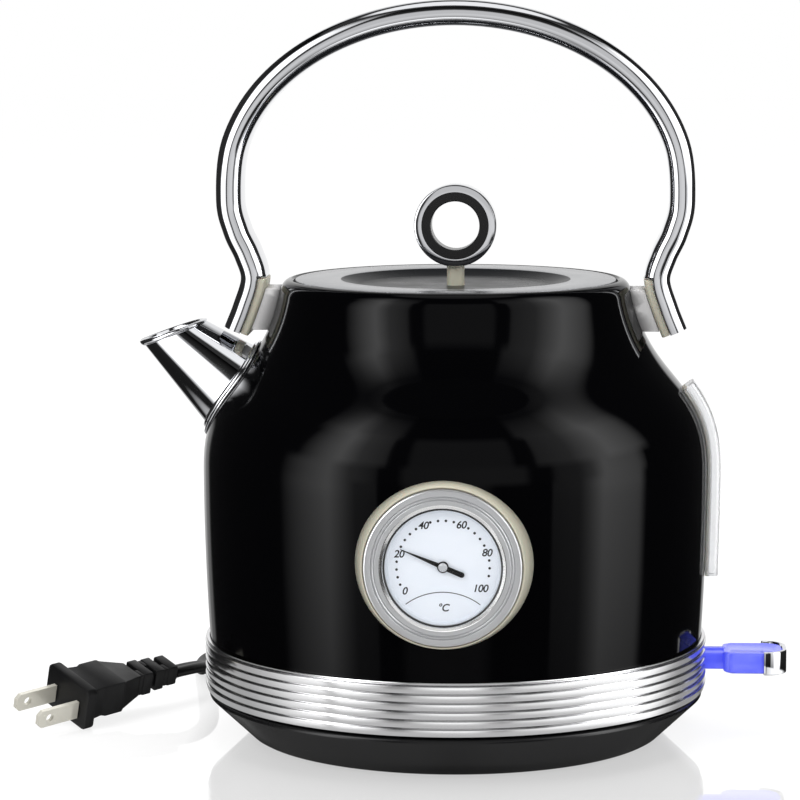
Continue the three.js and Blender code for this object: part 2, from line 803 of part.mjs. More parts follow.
// Points beside the hoop's right end, from its end up, at an offset towards the body.
function besideHandle(offset, from, to) {
  const points = [];
  const total = handlePath.getLength();
  for (let i = 0; i <= 6; i++) {
    const u = (from + ((to - from) * i) / 6) / total;
    const point = handlePath.getPointAt(u);
    const tangent = handlePath.getTangentAt(u);
    points.push(v2(point.x - tangent.z * offset, point.z + tangent.x * offset));
  }
  return points;
}

// Where the hoop's inner face is at the height of the screws.
function handleInnerX() {
  const points = besideHandle(handleThickness / 2, 0, padLength);
  const away = (p) => Math.abs(p.y - handleScrewZ);
  return points.reduce((best, p) => (away(p) < away(best) ? p : best)).x;
}

function buildHandle() {
  add("handle_hoop", handleHoop(), chrome);
  const padInner = handleThickness / 2 + gap;
  const padOuter = padInner + padThickness;
  for (const side of [1, -1]) {
    const name = side > 0 ? "right" : "left";
    const mirrored = (points) => points.map((p) => v2(p.x * side, p.y));
    const near = besideHandle(padInner, padStart, padLength);
    const far = besideHandle(padOuter, padStart, padLength).reverse();
    const pad = solid(slab(mirrored([...near, ...far]), padDepth)).subtract(handleBore(side));
    add("handle_pad_" + name, pad, beigePlastic);
    const face = besideHandle(padOuter + gap, padStart, padLength);
    const insideX = lidOpening;
    const outline = [v2(insideX, face[0].y), ...face, v2(insideX, face[face.length - 1].y)];
    const height = block(-bodyRadius, bodyRadius, -padDepth, padDepth, bracketBottomZ, bracketTopZ);
    const bar = solid(slab(mirrored(outline), bracketDepth)).intersect(solid(height));
    const bracket = without(bar, [bodyAndGap, handleBore(side)]);
    add("handle_bracket_" + name, bracket, greyPlastic);
    const headEnd = bodyRadiusAt(handleScrewZ + handleScrewHead) - sheet - gap;
    const screw = turned([
      [0, headEnd - handleScrewHeadHeight],
      [handleScrewHead, headEnd - handleScrewHeadHeight],
      [handleScrewHead, headEnd],
      [handleScrewRadius, headEnd],
      [handleScrewRadius, handleInnerX() + handleScrewBite],
      [0, handleInnerX() + handleScrewBite],
    ], 12);
    const mesh = add("handle_screw_" + name, screw.rotateY((side * Math.PI) / 2), brushedSteel);
    mesh.position.z = handleScrewZ;
  }
}

// ---------------------------------------------------------------- temperature gauge
// Depths are measured forward from the kettle's axis.
const ringBack = gaugeFace - gaugeRingThickness;
const lensFront = gaugeFace - lensSink;
const lensBack = lensFront - lensThickness;
const dialFront = lensBack - needleSpace;
const dialBack = dialFront - dialThickness;
const panFront = dialBack - gap;
const panBack = panFront - panThickness;

function buildGauge() {
  const bezelBack = bodyRadius * Math.cos(Math.asin(bezelBackRadius / bodyRadius)) - 1;
  const cavity = dialRadius + gap;
  const bezel = ring([
    [cavity, bezelBack],
    [bezelBackRadius, bezelBack],
    [bezelFrontRadius, ringBack],
    [cavity, ringBack],
  ], gaugeSides);
  add("gauge_bezel", solid(facingFront(bezel, gaugeZ)).subtract(bodyAndGap), beigePlastic);
  const face = ring([
    [dialRadius - gap, ringBack],
    [gaugeRingRadius, ringBack],
    [gaugeRingRadius, gaugeFace - gaugeRingChamfer],
    [gaugeRingRadius - gaugeRingChamfer, gaugeFace],
    [gaugeGrooveRadius + gaugeRingGroove, gaugeFace],
    [gaugeGrooveRadius, gaugeFace - gaugeRingGroove],
    [gaugeGrooveRadius - gaugeRingGroove, gaugeFace],
    [gaugeSightRadius, gaugeFace],
    [dialRadius - gap, lensFront + gap],
  ], gaugeSides);
  add("gauge_ring", facingFront(face, gaugeZ), chrome);
  const inside = dialRadius - 2 * gap;
  add("gauge_lens", facingFront(disc(inside, lensBack, lensFront, gaugeSides), gaugeZ), clearGlass);
  const hole = shaftRadius + gap;
  const dial = plainRing(hole, dialRadius, dialBack, dialFront, gaugeSides);
  add("gauge_dial", facingFront(dial, gaugeZ), dialWhite);
  const pan = facingFront(plainRing(hole, dialRadius, panBack, panFront, gaugeSides), gaugeZ);
  add("gauge_housing", pan, brushedSteel);
  const stemEnd = panBack - gap - stemLength;
  const probe = turned([
    [hole, panBack - gap],
    [hole, panBack - shaftBearing - 2],
    [0, panBack - shaftBearing - 2],
    [0, stemEnd - probeLength],
    [probeRadius, stemEnd - probeLength],
    [probeRadius, stemEnd],
    [stemRadius, stemEnd],
    [stemRadius, panBack - gap],
    [hole, panBack - gap],
  ], 16);
  add("gauge_probe", facingFront(probe, gaugeZ), brass);
  const narrowest = bodyRadiusAt(gaugeZ - nutRadius) - sheet;
  const shellInside = Math.sqrt(narrowest ** 2 - nutRadius ** 2) * Math.cos(Math.PI / bigSides) - gap;
  const seal = plainRing(stemRadius + gap, nutRadius, shellInside - sealThickness, shellInside, smallSides);
  add("gauge_seal", facingFront(seal, gaugeZ), silicone);
  const nutFront = shellInside - sealThickness;
  const nut = solid(facingFront(disc(nutRadius, nutFront - nutThickness, nutFront, 6), gaugeZ));
  const nutBore = solid(barY(stemRadius + gap, -bodyRadius, 0, 0, gaugeZ));
  add("gauge_nut", nut.subtract(nutBore), brass);
  buildNeedle();
}

function buildNeedle() {
  const middle = dialFront + (needleSpace - needleThickness) / 2;
  const outline = [
    v2(needleTip, 0), v2(0, needleHalfWidth), v2(-needleTail, needleHalfWidth),
    v2(-needleTail, -needleHalfWidth), v2(0, -needleHalfWidth),
  ];
  const blade = slab(outline, needleThickness).rotateY(-rad(needleAngle));
  blade.translate(0, -middle - needleThickness / 2, gaugeZ);
  const bore = solid(facingFront(disc(shaftRadius + gap, middle - 2, middle + 2, 12), gaugeZ));
  const hub = solid(facingFront(disc(needleHub, middle, middle + needleThickness, 12), gaugeZ));
  add("gauge_needle", solid(blade).add(hub).subtract(bore), darkPlastic);
  const shaft = turned([
    [0, panBack - shaftBearing],
    [shaftRadius, panBack - shaftBearing],
    [shaftRadius, middle + needleThickness + gap / 2],
    [needleHub * 0.8, middle + needleThickness + gap / 2],
    [needleHub * 0.8, lensBack - gap],
    [0, lensBack - gap],
  ], 12);
  add("gauge_shaft", facingFront(shaft, gaugeZ), brushedSteel);
}

// ---------------------------------------------------------------- water window
// A prism along X with round ends, between two heights.
function windowPrism(width, bottom, top) {
  const half = width / 2;
  const outline = new THREE.Shape();
  outline.absarc(0, top - half, half, 0, Math.PI);
  outline.absarc(0, bottom + half, half, Math.PI, 2 * Math.PI);
  const settings = { depth: bodyRadius, bevelEnabled: false, curveSegments: 6 };
  const prism = new THREE.ExtrudeGeometry(outline, settings);
  return solid(prism.rotateX(Math.PI / 2).rotateZ(Math.PI / 2).translate(bodyRadius / 2, 0, 0));
}

// The two holes through which the water reaches the window.
function windowPorts() {
  const heights = [windowBottomZ + portInset, windowTopZ - portInset];
  return heights.map((z) => solid(barX(portRadius, bodyRadius / 2, bodyRadius + windowProud, 0, z, 12)));
}

function buildWindow() {
  const backFace = gap + backingThickness;
  const grown = (size) => windowPrism(windowWidth + 2 * size, windowBottomZ - size, windowTopZ + size);
  const backing = bodySolid(backFace).intersect(grown(backingMargin));
  add("window_backing", without(backing, [bodyAndGap, ...windowPorts()]), beigePlastic);
  const cover = bodySolid(windowProud).intersect(grown(0));
  const channel = bodySolid(windowProud - windowWall).intersect(grown(-windowWall));
  add("water_window", without(cover, [bodySolid(backFace + gap), channel]), clearPlastic);
}

// ---------------------------------------------------------------- lid and knob
function buildLid() {
  const edge = lidOpening - 2 * gap;
  const top = bodyTopZ;
  const dishZ = top - lidDishDepth;
  const screwHole = knobScrewRadius + gap;
  add("lid_cover", ring([
    [screwHole, dishZ - sheet],
    [lidDishInner + sheet / 2, dishZ - sheet],
    [lidDishOuter + sheet / 2, top - sheet],
    [edge - sheet, top - sheet],
    [edge - sheet, top - lidEdgeHeight],
    [edge, top - lidEdgeHeight],
    [edge, top - lidEdgeRound],
    [edge - lidEdgeRound, top],
    [lidDishOuter, top],
    [lidDishInner, dishZ],
    [screwHole, dishZ],
  ]), brushedSteel);
  const capRadius = ledgeInner - gap - sealWidth;
  const capTop = dishZ - sheet - gap;
  const capBottom = capTop - innerCapDepth;
  add("lid_inner_cap", ring([
    [screwHole, capTop - innerCapWall],
    [capRadius - innerCapWall, capTop - innerCapWall],
    [capRadius - innerCapWall, capBottom],
    [capRadius, capBottom],
    [capRadius, capTop],
    [screwHole, capTop],
  ]), blackPlastic);
  const sealTop = capTop - 2;
  const seal = plainRing(capRadius + gap / 2, ledgeInner - gap / 2, sealTop - sealHeight, sealTop);
  add("lid_seal", seal, silicone);
  const postTop = knobZ - knobRadius + gap;
  const post = ring([
    [screwHole, dishZ],
    [postRadius, dishZ],
    [postRadius, postTop],
    [screwHole, postTop],
  ], 16);
  const knobSpace = facingFront(disc(knobRadius + gap, -knobDepth, knobDepth, gaugeSides), knobZ);
  const postCap = solid(disc(postRadius, dishZ + knobScrewBite + 1, postTop, 16));
  add("knob_post", solid(post).add(postCap).subtract(solid(knobSpace)), beigePlastic);
  const half = knobDepth / 2;
  const outer = plainRing(knobRadius - knobFace, knobRadius, -half, half, gaugeSides);
  add("knob_ring", facingFront(outer, knobZ), chrome);
  const insertOuter = knobRadius - knobFace - gap;
  const insert = plainRing(insertOuter - knobInsertWidth, insertOuter, -half, half, gaugeSides);
  add("knob_insert", facingFront(insert, knobZ), darkPlastic);
  const seat = capTop - innerCapWall;
  add("knob_screw", turned([
    [0, seat - knobScrewHeadHeight],
    [knobScrewHead, seat - knobScrewHeadHeight],
    [knobScrewHead, seat],
    [knobScrewRadius, seat],
    [knobScrewRadius, dishZ + knobScrewBite],
    [0, dishZ + knobScrewBite],
  ], 12), brushedSteel);
}

// ---------------------------------------------------------------- switch lever
// The paddle's outline seen from above, grown by an offset, from a given x.
function paddleOutline(from, offset) {
  const half = leverWidth / 2 + offset;
  const end = leverTipX - tipThickness - gap + offset;
  const corner = leverCorner + offset;
  const outline = new THREE.Shape();
  outline.moveTo(from, -half);
  outline.lineTo(end - corner, -half);
  outline.absarc(end - corner, -half + corner, corner, -Math.PI / 2, 0);
  outline.absarc(end - corner, half - corner, corner, 0, Math.PI / 2);
  outline.lineTo(from, half);
  return outline;
}

function paddleSolid(from, offset, thickness) {
  const settings = { depth: thickness, bevelEnabled: false, curveSegments: 6 };
  const paddle = new THREE.ExtrudeGeometry(paddleOutline(from, offset), settings);
  return solid(paddle.translate(0, 0, leverZ - thickness / 2));
}

function buildLever() {
  const halfNeck = leverNeckThickness / 2;
  const halfWidth = leverNeckWidth / 2;
  const low = leverZ - halfNeck;
  const high = leverZ + halfNeck;
  const neck = solid(block(pivotX, leverPaddleX + 1, -halfWidth, halfWidth, low, high));
  const tail = solid(block(pivotX - leverTail, pivotX, -halfWidth / 2, halfWidth / 2, low + 1, high - 1));
  const hub = solid(barY(hubRadius, -halfWidth, halfWidth, pivotX, leverZ, 16));
  const bore = solid(barY(pivotRadius + gap, -halfWidth - 1, halfWidth + 1, pivotX, leverZ, 12));
  const paddle = paddleSolid(leverPaddleX, 0, leverThickness);
  add("switch_lever", joined([hub, neck, tail, paddle]).subtract(bore), bluePlastic);
  const tipFrom = leverTipX - tipLength;
  const cap = paddleSolid(tipFrom, gap + tipThickness, leverThickness);
  add("switch_tip", cap.subtract(paddleSolid(tipFrom - 5, gap, leverThickness + 2)), chrome);
}

// ---------------------------------------------------------------- cord and plug
// The cord's middle line, chosen by hand: out of the base and down to the table, round the coil
// behind the kettle, and on to the plug.
const leadPoints = [
  [glandX, 0.3, glandZ], [41.8, 4, 8.7], [41.5, 8, 7.9], [40.8, 13, 5.8], [40.1, 18, 3.7],
  [39.5, 23, 2.4], [39.1, 29, 1.9],
].map(([x, out, z]) => [x, glandEndY + out, z]);

// Past the coil the cord keeps clear of the base: behind it in y, and beside it in x.
const cordPoints = [
  [-41.1, 156.2, 6.2], [-52.5, 151.1, 3.6], [-64.6, 144, 2.2], [-75, 136.2, 1.9],
  [-83.9, 127.9, 1.9], [-90.2, 119.8, 1.9], [-94.6, 110.8, 1.9], [-97, 102, 1.9],
  [-97.3, 93, 1.9], [-96, 83, 2.4], [-94.1, 73, 4.2], [-92.3, 63, 6.8], [-91.2, 55, 9.2],
  [-91.4, 49, 10.8], [-93, 43.2, 11.8], [-95.7, 37.9, 12.3], [-99.4, 33.2, 12.3], [-101.3, 31.2, 12.1],
].map(([x, y, z], i, all) => {
  const share = i / (all.length - 1);
  return [x - baseGrowth * share, y + baseGrowth * (1 - share), z];
});

function cordTube(points, steps) {
  const section = new THREE.Shape();
  section.absellipse(0, 0, cordThickness / 2, cordWidth / 2, 0, 2 * Math.PI);
  const path = new THREE.CatmullRomCurve3(points.map((p) => v3(...p)));
  return new THREE.ExtrudeGeometry(section, { steps, extrudePath: path, curveSegments: 4 });
}

function blade(side) {
  const outline = new THREE.Shape();
  const half = bladeWidth / 2;
  outline.moveTo(gap, -half);
  outline.lineTo(bladeLength - bladeCorner, -half);
  outline.lineTo(bladeLength, -half + bladeCorner);
  outline.lineTo(bladeLength, half - bladeCorner);
  outline.lineTo(bladeLength - bladeCorner, half);
  outline.lineTo(gap, half);
  const hole = new THREE.Path();
  hole.absarc(bladeLength - bladeHoleInset, 0, bladeHole, 0, 2 * Math.PI);
  outline.holes.push(hole);
  const settings = { depth: bladeThickness, bevelEnabled: false, curveSegments: 5 };
  const plate = new THREE.ExtrudeGeometry(outline, settings).rotateX(Math.PI / 2);
  return plate.translate(0, (side * bladeSpacing) / 2 + bladeThickness / 2, 0);
}

function buildCord() {
  const gland = turned([
    [0, glandStartY],
    [glandFlange, glandStartY],
    [glandFlange, glandStartY + wall],
    [glandNeck, glandStartY + wall],
    [glandNeck, glandTaperY],
    [glandRadius, glandTaperY],
    [glandTip, glandEndY],
    [0, glandEndY],
  ], 16);
  const relief = add("cord_strain_relief", gland.rotateX(-Math.PI / 2), rubber);
  relief.position.set(glandX, 0, glandZ);
  add("cord_lead", cordTube(leadPoints, 8), rubber);
  const half = cordWidth / 2;
  const coil = plainRing(coilRadius - half, coilRadius + half, tableGap, coilHeight, gaugeSides);
  add("cord_coil", coil, rubber).position.set(coilX, coilY, 0);
  add("power_cord", cordTube(cordPoints, 28), rubber);

  const plug = new THREE.Group();
  const body = turned([
    [0, 0],
    [plugHalfWidth, 0],
    [plugHalfWidth, plugFlange],
    [plugHalfWidth - plugStep, plugGripZ],
    [plugHalfWidth - plugStep, plugGripEnd],
    [plugHalfWidth - plugTaper, plugTaperEnd],
    [half + plugReliefWall, plugReliefZ],
    [half + plugReliefTip, plugLength],
    [0, plugLength],
  ], 20);
  body.scale(plugFlatness, 1, 1).rotateY(-Math.PI / 2);
  add("plug_body", body, blackPlastic, plug);
  add("plug_blade_left", blade(1), brushedSteel, plug);
  add("plug_blade_right", blade(-1), brushedSteel, plug);
  plug.rotation.set(rad(plugRoll), rad(plugPitch), rad(plugYaw), "ZYX");
  const back = v3(-plugLength - gap, 0, 0).applyEuler(plug.rotation);
  const roll = rad(plugRoll);
  const high = plugHalfWidth * Math.hypot(Math.sin(roll), plugFlatness * Math.cos(roll));
  plug.position.set(plugX - back.x, plugY - back.y, high + 2 * tableGap);
  kettle.add(plug);
}

buildPowerBase();
buildBody();
add("spout", spout(), chrome);
add("spout_filter", spoutFilter(), brushedSteel);
buildHandle();
buildGauge();
buildWindow();
buildLid();
buildLever();
buildCord();

export default kettle;
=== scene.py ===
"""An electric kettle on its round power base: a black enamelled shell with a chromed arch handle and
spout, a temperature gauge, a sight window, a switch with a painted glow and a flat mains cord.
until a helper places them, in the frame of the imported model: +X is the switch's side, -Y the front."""
from math import atan2, cos, hypot, pi, radians, sin

import bpy
from mathutils import Euler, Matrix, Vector


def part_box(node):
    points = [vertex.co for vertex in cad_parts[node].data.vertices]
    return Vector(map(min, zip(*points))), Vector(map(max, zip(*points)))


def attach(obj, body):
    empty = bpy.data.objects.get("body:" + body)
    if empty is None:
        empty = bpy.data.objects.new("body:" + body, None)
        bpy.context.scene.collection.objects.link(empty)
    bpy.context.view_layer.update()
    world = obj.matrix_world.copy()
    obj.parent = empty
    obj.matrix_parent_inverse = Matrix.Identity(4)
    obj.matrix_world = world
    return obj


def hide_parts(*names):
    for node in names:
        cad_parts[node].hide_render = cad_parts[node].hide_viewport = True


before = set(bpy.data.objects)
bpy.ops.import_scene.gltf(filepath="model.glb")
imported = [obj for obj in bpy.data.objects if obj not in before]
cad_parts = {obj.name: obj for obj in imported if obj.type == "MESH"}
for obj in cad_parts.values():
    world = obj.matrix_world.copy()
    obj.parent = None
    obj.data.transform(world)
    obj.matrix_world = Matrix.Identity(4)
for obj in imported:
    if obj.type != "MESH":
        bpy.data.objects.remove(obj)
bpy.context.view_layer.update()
mm = 0.001

# ---------------------------------------------------------------- camera
# A long lens a little above the lid, turned slightly to the kettle's right, and shifted so that the
# plug on the left and the switch on the right both fit.
def new_object(name, data):
    """An object in the scene, made from its data."""
    made = bpy.data.objects.new(name, data)
    bpy.context.scene.collection.objects.link(made)
    return made


camera = new_object("camera", bpy.data.cameras.new("camera"))
camera.location = (0.0494, -1.0889, 0.2537)
camera.rotation_euler = (radians(90 - 7.34), 0, radians(2.6))
camera.data.sensor_width = 36
camera.data.lens = 146.8
camera.data.shift_x = -0.0694
bpy.context.scene.camera = camera


# ---------------------------------------------------------------- mains cord
# Flat twin flex: two stranded conductors side by side in one black PVC sheath, with a valley between
# them. The spare length lies in a little over two stacked turns behind the base, held by a tie.
def linear(hexcode):
    """An sRGB hex colour as linear RGBA."""
    parts = [int(hexcode[i:i + 2], 16) / 255 for i in (1, 3, 5)]
    return [c / 12.92 if c <= 0.04045 else ((c + 0.055) / 1.055) ** 2.4 for c in parts] + [1.0]


def add_node(tree, kind, links=None, **settings):
    """A shader node with its settings, whose inputs take a value or another node's output."""
    made = tree.nodes.new("ShaderNode" + kind)
    for key, value in settings.items():
        setattr(made, key, value)
    for key, value in (links or {}).items():
        if isinstance(value, bpy.types.NodeSocket):
            tree.links.new(value, made.inputs[key])
        else:
            made.inputs[key].default_value = value
    return made


def object_place(tree):
    """The place on the piece, in its own coordinates."""
    return add_node(tree, "TexCoord").outputs["Object"]


def noise(tree, scale, detail, place=None):
    """Plain noise over a piece."""
    return add_node(tree, "TexNoise", {"Vector": place or object_place(tree), "Scale": scale,
                                       "Detail": detail}).outputs[0]


def remap(tree, value, low, high, start=0.0, end=1.0):
    """A value carried from the range start to end over to the range low to high."""
    return add_node(tree, "MapRange", {"Value": value, "From Min": start, "From Max": end,
                                       "To Min": low, "To Max": high}).outputs[0]


def bumps(tree, height, strength, depth):
    """Bumps from a height, with a depth in mm."""
    return add_node(tree, "Bump", {"Height": height, "Strength": strength,
                                   "Distance": depth * mm}).outputs[0]


def calculate(tree, operation, first, second):
    """One calculation with two values."""
    return add_node(tree, "Math", {0: first, 1: second}, operation=operation).outputs[0]


def blend(tree, share, first, second):
    """A colour between two others, each given as a hex colour or as a node's output."""
    first, second = (linear(tone) if isinstance(tone, str) else tone for tone in (first, second))
    return add_node(tree, "Mix", {0: share, 6: first, 7: second}, data_type="RGBA").outputs[2]


def wire(made, **sockets):
    """Links nodes' outputs to a material's shader, and gives the material back."""
    shader = made.node_tree.nodes["Principled BSDF"]
    for key, output in sockets.items():
        made.node_tree.links.new(output, shader.inputs[key.replace("_", " ")])
    return made


def new_material(name, colour, roughness, **sockets):
    """A material whose shader holds what is the same all over the surface."""
    made = bpy.data.materials.new(name)
    made.use_nodes = True
    shader = made.node_tree.nodes["Principled BSDF"]
    shader.inputs["Base Color"].default_value = linear(colour)
    shader.inputs["Roughness"].default_value = roughness
    for key, value in sockets.items():
        shader.inputs[key.replace("_", " ")].default_value = value
    return made, made.node_tree


def moulded(name, colour, roughness, light, dark, pit, depth, glossy, dull, **sockets):
    """The skin of a moulding: pits of a size and depth in mm, and tone and gloss that drift slowly."""
    made, tree = new_material(name, colour, roughness, **sockets)
    place = object_place(tree)
    drift = noise(tree, 60, 4, place)
    return wire(made, Base_Color=blend(tree, drift, light, dark),
                Roughness=remap(tree, drift, glossy, dull, 0.3, 0.7),
                Normal=bumps(tree, noise(tree, 1 / (pit * mm), 2, place), 0.6, depth))


def on_circle(x, y, radius, angle):
    """A place on a circle round (x, y), from an angle in degrees."""
    return x + radius * cos(radians(angle)), y + radius * sin(radians(angle))


def smooth(points, steps):
    """A curve through points, as a closer row of points."""
    points = [Vector(p) for p in points]
    ends = [2 * points[0] - points[1]] + points + [2 * points[-1] - points[-2]]
    row = []
    for a, b, c, d in zip(ends, ends[1:], ends[2:], ends[3:]):
        for i in range(steps):
            t = i / steps
            row.append(0.5 * (2 * b + (c - a) * t + (2 * a - 5 * b + 4 * c - d) * t ** 2
                              + (3 * b - a - 3 * c + d) * t ** 3))
    return row + [points[-1]]


def deselect():
    bpy.ops.object.select_all(action="DESELECT")


def fit(piece, made, body, slot, *nodes):
    """Gives a finished piece its material, the body that it rides on and the nodes it stands for."""
    piece.data.materials.clear()
    piece.data.materials.append(made)
    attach(piece, body)
    if nodes:
        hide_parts(*nodes)


# flexible PVC, extruded: a satin sheath with faint die lines and a dusting of dull patches
pvc_sheath = moulded("flexible_pvc", "#0e0e0f", 0.42, "#121213", "#0a0a0b", 0.6, 0.03, 0.34, 0.5, IOR=1.53,
                     Specular_IOR_Level=0.22)
cord_width = 7
cord_thickness = 3.6
lead_points = [(42, 97.3, 8.8), (41.8, 101, 8.7), (41.5, 105, 7.9), (40.8, 110, 5.8), (40.1, 115, 3.7),
               (39.5, 120, 2.4), (39.1, 126, 1.9), (38.4, 132.5, 2.2), (36, 139.3, 2.5), (31.2, 147.5, 2.6)]
coil_x, coil_y, coil_radius, coil_bottom = -4.5, 132, 37, 2.6
coil_start, coil_rise = 40, 4
coil_points = [(*on_circle(coil_x, coil_y, coil_radius, angle),
                coil_bottom + coil_rise * (angle - coil_start) / 360)
               for angle in range(coil_start, 832, 24)]
cord_points = [(-30, 161.7, 8.7), (-41.1, 156.2, 6.2), (-52.5, 151.1, 3.6), (-64.6, 144, 2.2),
               (-75, 136.2, 1.9), (-83.9, 127.9, 1.9), (-90.2, 119.8, 1.9), (-94.6, 110.8, 1.9),
               (-97, 102, 1.9), (-97.3, 93, 1.9), (-96, 83, 2.4), (-94.1, 73, 4.2), (-92.3, 63, 6.8),
               (-91.2, 55, 9.2), (-91.4, 49, 10.8), (-93, 43.2, 11.8), (-95.7, 37.9, 12.3),
               (-99.4, 33.2, 12.3), (-101.3, 31.2, 12.1)]
cord_route = [p * mm for p in smooth(lead_points + coil_points + cord_points, 5)]

# the sheath's section: two round lobes that meet in a shallow valley
section = bpy.data.curves.new("cord_section", "CURVE")
section.dimensions = "2D"
lobe = section.splines.new("POLY")
lobe_radius = cord_thickness / 2
lobe_out = cord_width / 2 - lobe_radius
rim_angles = [(side, a) for side, first in ((1, -125), (-1, 55)) for a in range(first, first + 251, 25)]
lobe.points.add(len(rim_angles) - 1)
for point, (side, a) in zip(lobe.points, rim_angles):
    x, y = on_circle(side * lobe_out, 0, lobe_radius, a)
    point.co = (x * mm, y * mm, 0, 1)
lobe.use_cyclic_u = True
section_piece = new_object("cord_section", section)

route = bpy.data.curves.new("mains_cord", "CURVE")
route.dimensions = "3D"
route.twist_mode = "Z_UP"
route.bevel_mode = "OBJECT"
route.bevel_object = section_piece
route.use_fill_caps = True
line = route.splines.new("POLY")
line.points.add(len(cord_route) - 1)
for point, place in zip(line.points, cord_route):
    point.co = (*place, 1)
mains_cord = new_object("mains_cord", route)
deselect()
mains_cord.select_set(True)
bpy.context.view_layer.objects.active = mains_cord
bpy.ops.object.convert(target="MESH")
bpy.data.objects.remove(section_piece)
bpy.ops.object.shade_smooth_by_angle(angle=radians(50))
fit(mains_cord, pvc_sheath, "power_base", "black_rubber", "cord_lead", "cord_coil", "power_cord")


# ---------------------------------------------------------------- cord tie
# A reusable tie of black hook-and-loop tape, cut from the roll and passed once round the stacked
# turns of the cord at the back.
def mode(name):
    """Goes over to edit or to object mode."""
    bpy.ops.object.mode_set(mode=name)


def select_all():
    """Selects everything in the piece being edited."""
    bpy.ops.mesh.select_all(action="SELECT")


def extrude(step):
    """Extrudes what is selected by a step in metres."""
    bpy.ops.mesh.extrude_region_move(TRANSFORM_OT_translate={"value": step})


def place_done(name, angle=35):
    """Names the active piece, brings its object to the origin and shades it."""
    piece = bpy.context.object
    piece.name = name
    piece.data.name = name
    bpy.ops.object.transform_apply(location=True, rotation=True, scale=True)
    bpy.ops.object.shade_smooth_by_angle(angle=radians(angle))
    return piece


def soften(width):
    """Rounds the active piece's sharp edges by a width in mm."""
    made = bpy.context.object.modifiers.new("soften", "BEVEL")
    made.width = width * mm
    made.segments = 2
    made.limit_method = "ANGLE"
    made.angle_limit = radians(30)
    bpy.ops.object.modifier_apply(modifier=made.name)


tie_angle = 70
tie_spot = Vector((*on_circle(coil_x, coil_y, coil_radius, tie_angle), 7.9)) * mm
deselect()
bpy.ops.mesh.primitive_circle_add(vertices=40, radius=mm, location=tie_spot)
mode("EDIT")
bpy.ops.transform.resize(value=(4.9, 6.9, 1), center_override=tie_spot)
bpy.ops.transform.translate(value=(0, 0, -5 * mm))
extrude((0, 0, 10 * mm))
mode("OBJECT")
bpy.context.object.rotation_euler = (pi / 2, 0, radians(tie_angle))
tape = bpy.context.object.modifiers.new("tape", "SOLIDIFY")
tape.thickness = 0.9 * mm
bpy.ops.object.modifier_apply(modifier="tape")
soften(0.25)
# woven polyamide: a fine dull weave
woven_tape = moulded("woven_polyamide", "#1b1b1c", 0.85, "#242425", "#121213", 0.5, 0.2, 0.8, 0.95)
fit(place_done("cord_tie"), woven_tape, "power_base", "black_rubber")

# ---------------------------------------------------------------- mains plug
# A two-blade plug overmoulded in PVC: a flat flange to hold on to, a waisted grip and a ribbed
# strain relief. The blades are pressed from nickel-plated brass, with a hole near each tip.
plug_roll = radians(18)
plug_turn = Euler((-plug_roll, radians(4), radians(226)), "XYZ")
plug_length, plug_half, plug_flatness, plug_lift = 45.5, 12, 0.7, 1.5
cord_end_x, cord_end_y, cord_gap = -101.5, 31, 0.3
plug_high = plug_half * hypot(sin(plug_roll), plug_flatness * cos(plug_roll)) + plug_lift
plug_back = Vector((-plug_length - cord_gap, 0, 0))
plug_back.rotate(plug_turn)
plug_spot = Vector((cord_end_x - plug_back.x, cord_end_y - plug_back.y, plug_high)) * mm


def add_block(size, spot):
    """A block in the piece being edited, from its size and middle, left selected."""
    bpy.ops.mesh.primitive_cube_add(size=mm, location=Vector(spot) * mm)
    bpy.ops.transform.resize(value=size, center_override=Vector(spot) * mm)


def start_block(size, spot):
    """A block that starts a piece of its own, which is left in edit mode."""
    deselect()
    bpy.ops.mesh.primitive_cube_add(size=mm, location=Vector(spot) * mm)
    mode("EDIT")
    bpy.ops.transform.resize(value=size, center_override=Vector(spot) * mm)


start_block((4, 23, 15.2), (-2, 0, 0))
bpy.ops.mesh.select_mode(type="EDGE")
bpy.ops.mesh.select_all(action="DESELECT")
mode("OBJECT")
flange = bpy.context.object
for edge in flange.data.edges:
    a, b = (flange.data.vertices[i].co for i in edge.vertices)
    edge.select = abs(a.x - b.x) > mm
mode("EDIT")
bpy.ops.mesh.bevel(offset=1.8 * mm, segments=3, affect="EDGES")
# the grip: a block behind the flange, drawn out and narrowed to its waist and on to the cord
add_block((2, 17.6, 11.6), (-4.5, 0, 0))
bpy.ops.mesh.select_mode(type="FACE")
bpy.ops.mesh.select_all(action="DESELECT")
mode("OBJECT")
back_face = min(flange.data.polygons, key=lambda face: face.center.x)
back_face.select = True
mode("EDIT")
for step, width, height in [(4, 0.93, 0.98), (1.5, 1.08, 1.04), (7, 1.0, 1.0), (1, 0.92, 0.94),
                            (7, 0.7, 0.8), (2, 0.9, 0.92)]:
    extrude((-step * mm, 0, 0))
    bpy.ops.transform.resize(value=(1, width, height))
# the strain relief: a core with three collars, each with a short block beside it on alternating sides
add_block((19, cord_width + 0.8, cord_thickness + 1.4), (-36.2, 0, 0))
for collar, (middle, wide, high) in enumerate([(-31.2, 10.6, 8.4), (-36.9, 9.8, 7.8), (-42.8, 9.2, 7.2)]):
    add_block((4.0, wide, high), (middle, 0, 0))
    add_block((2.2, wide * 0.42, high - 0.4), (middle + 2.6, (-1) ** collar * wide * 0.27, 0))
mode("OBJECT")
soften(0.5)
flange.rotation_euler = plug_turn
flange.location = plug_turn.to_matrix() @ flange.location + plug_spot
fit(place_done("plug_moulding"), pvc_sheath, "power_base", "black_plastic", "plug_body")


def dress(made, *nodes):
    """Gives carried-over nodes a material in place of the plain one."""
    for name in nodes:
        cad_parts[name].material_slots[0].material = made


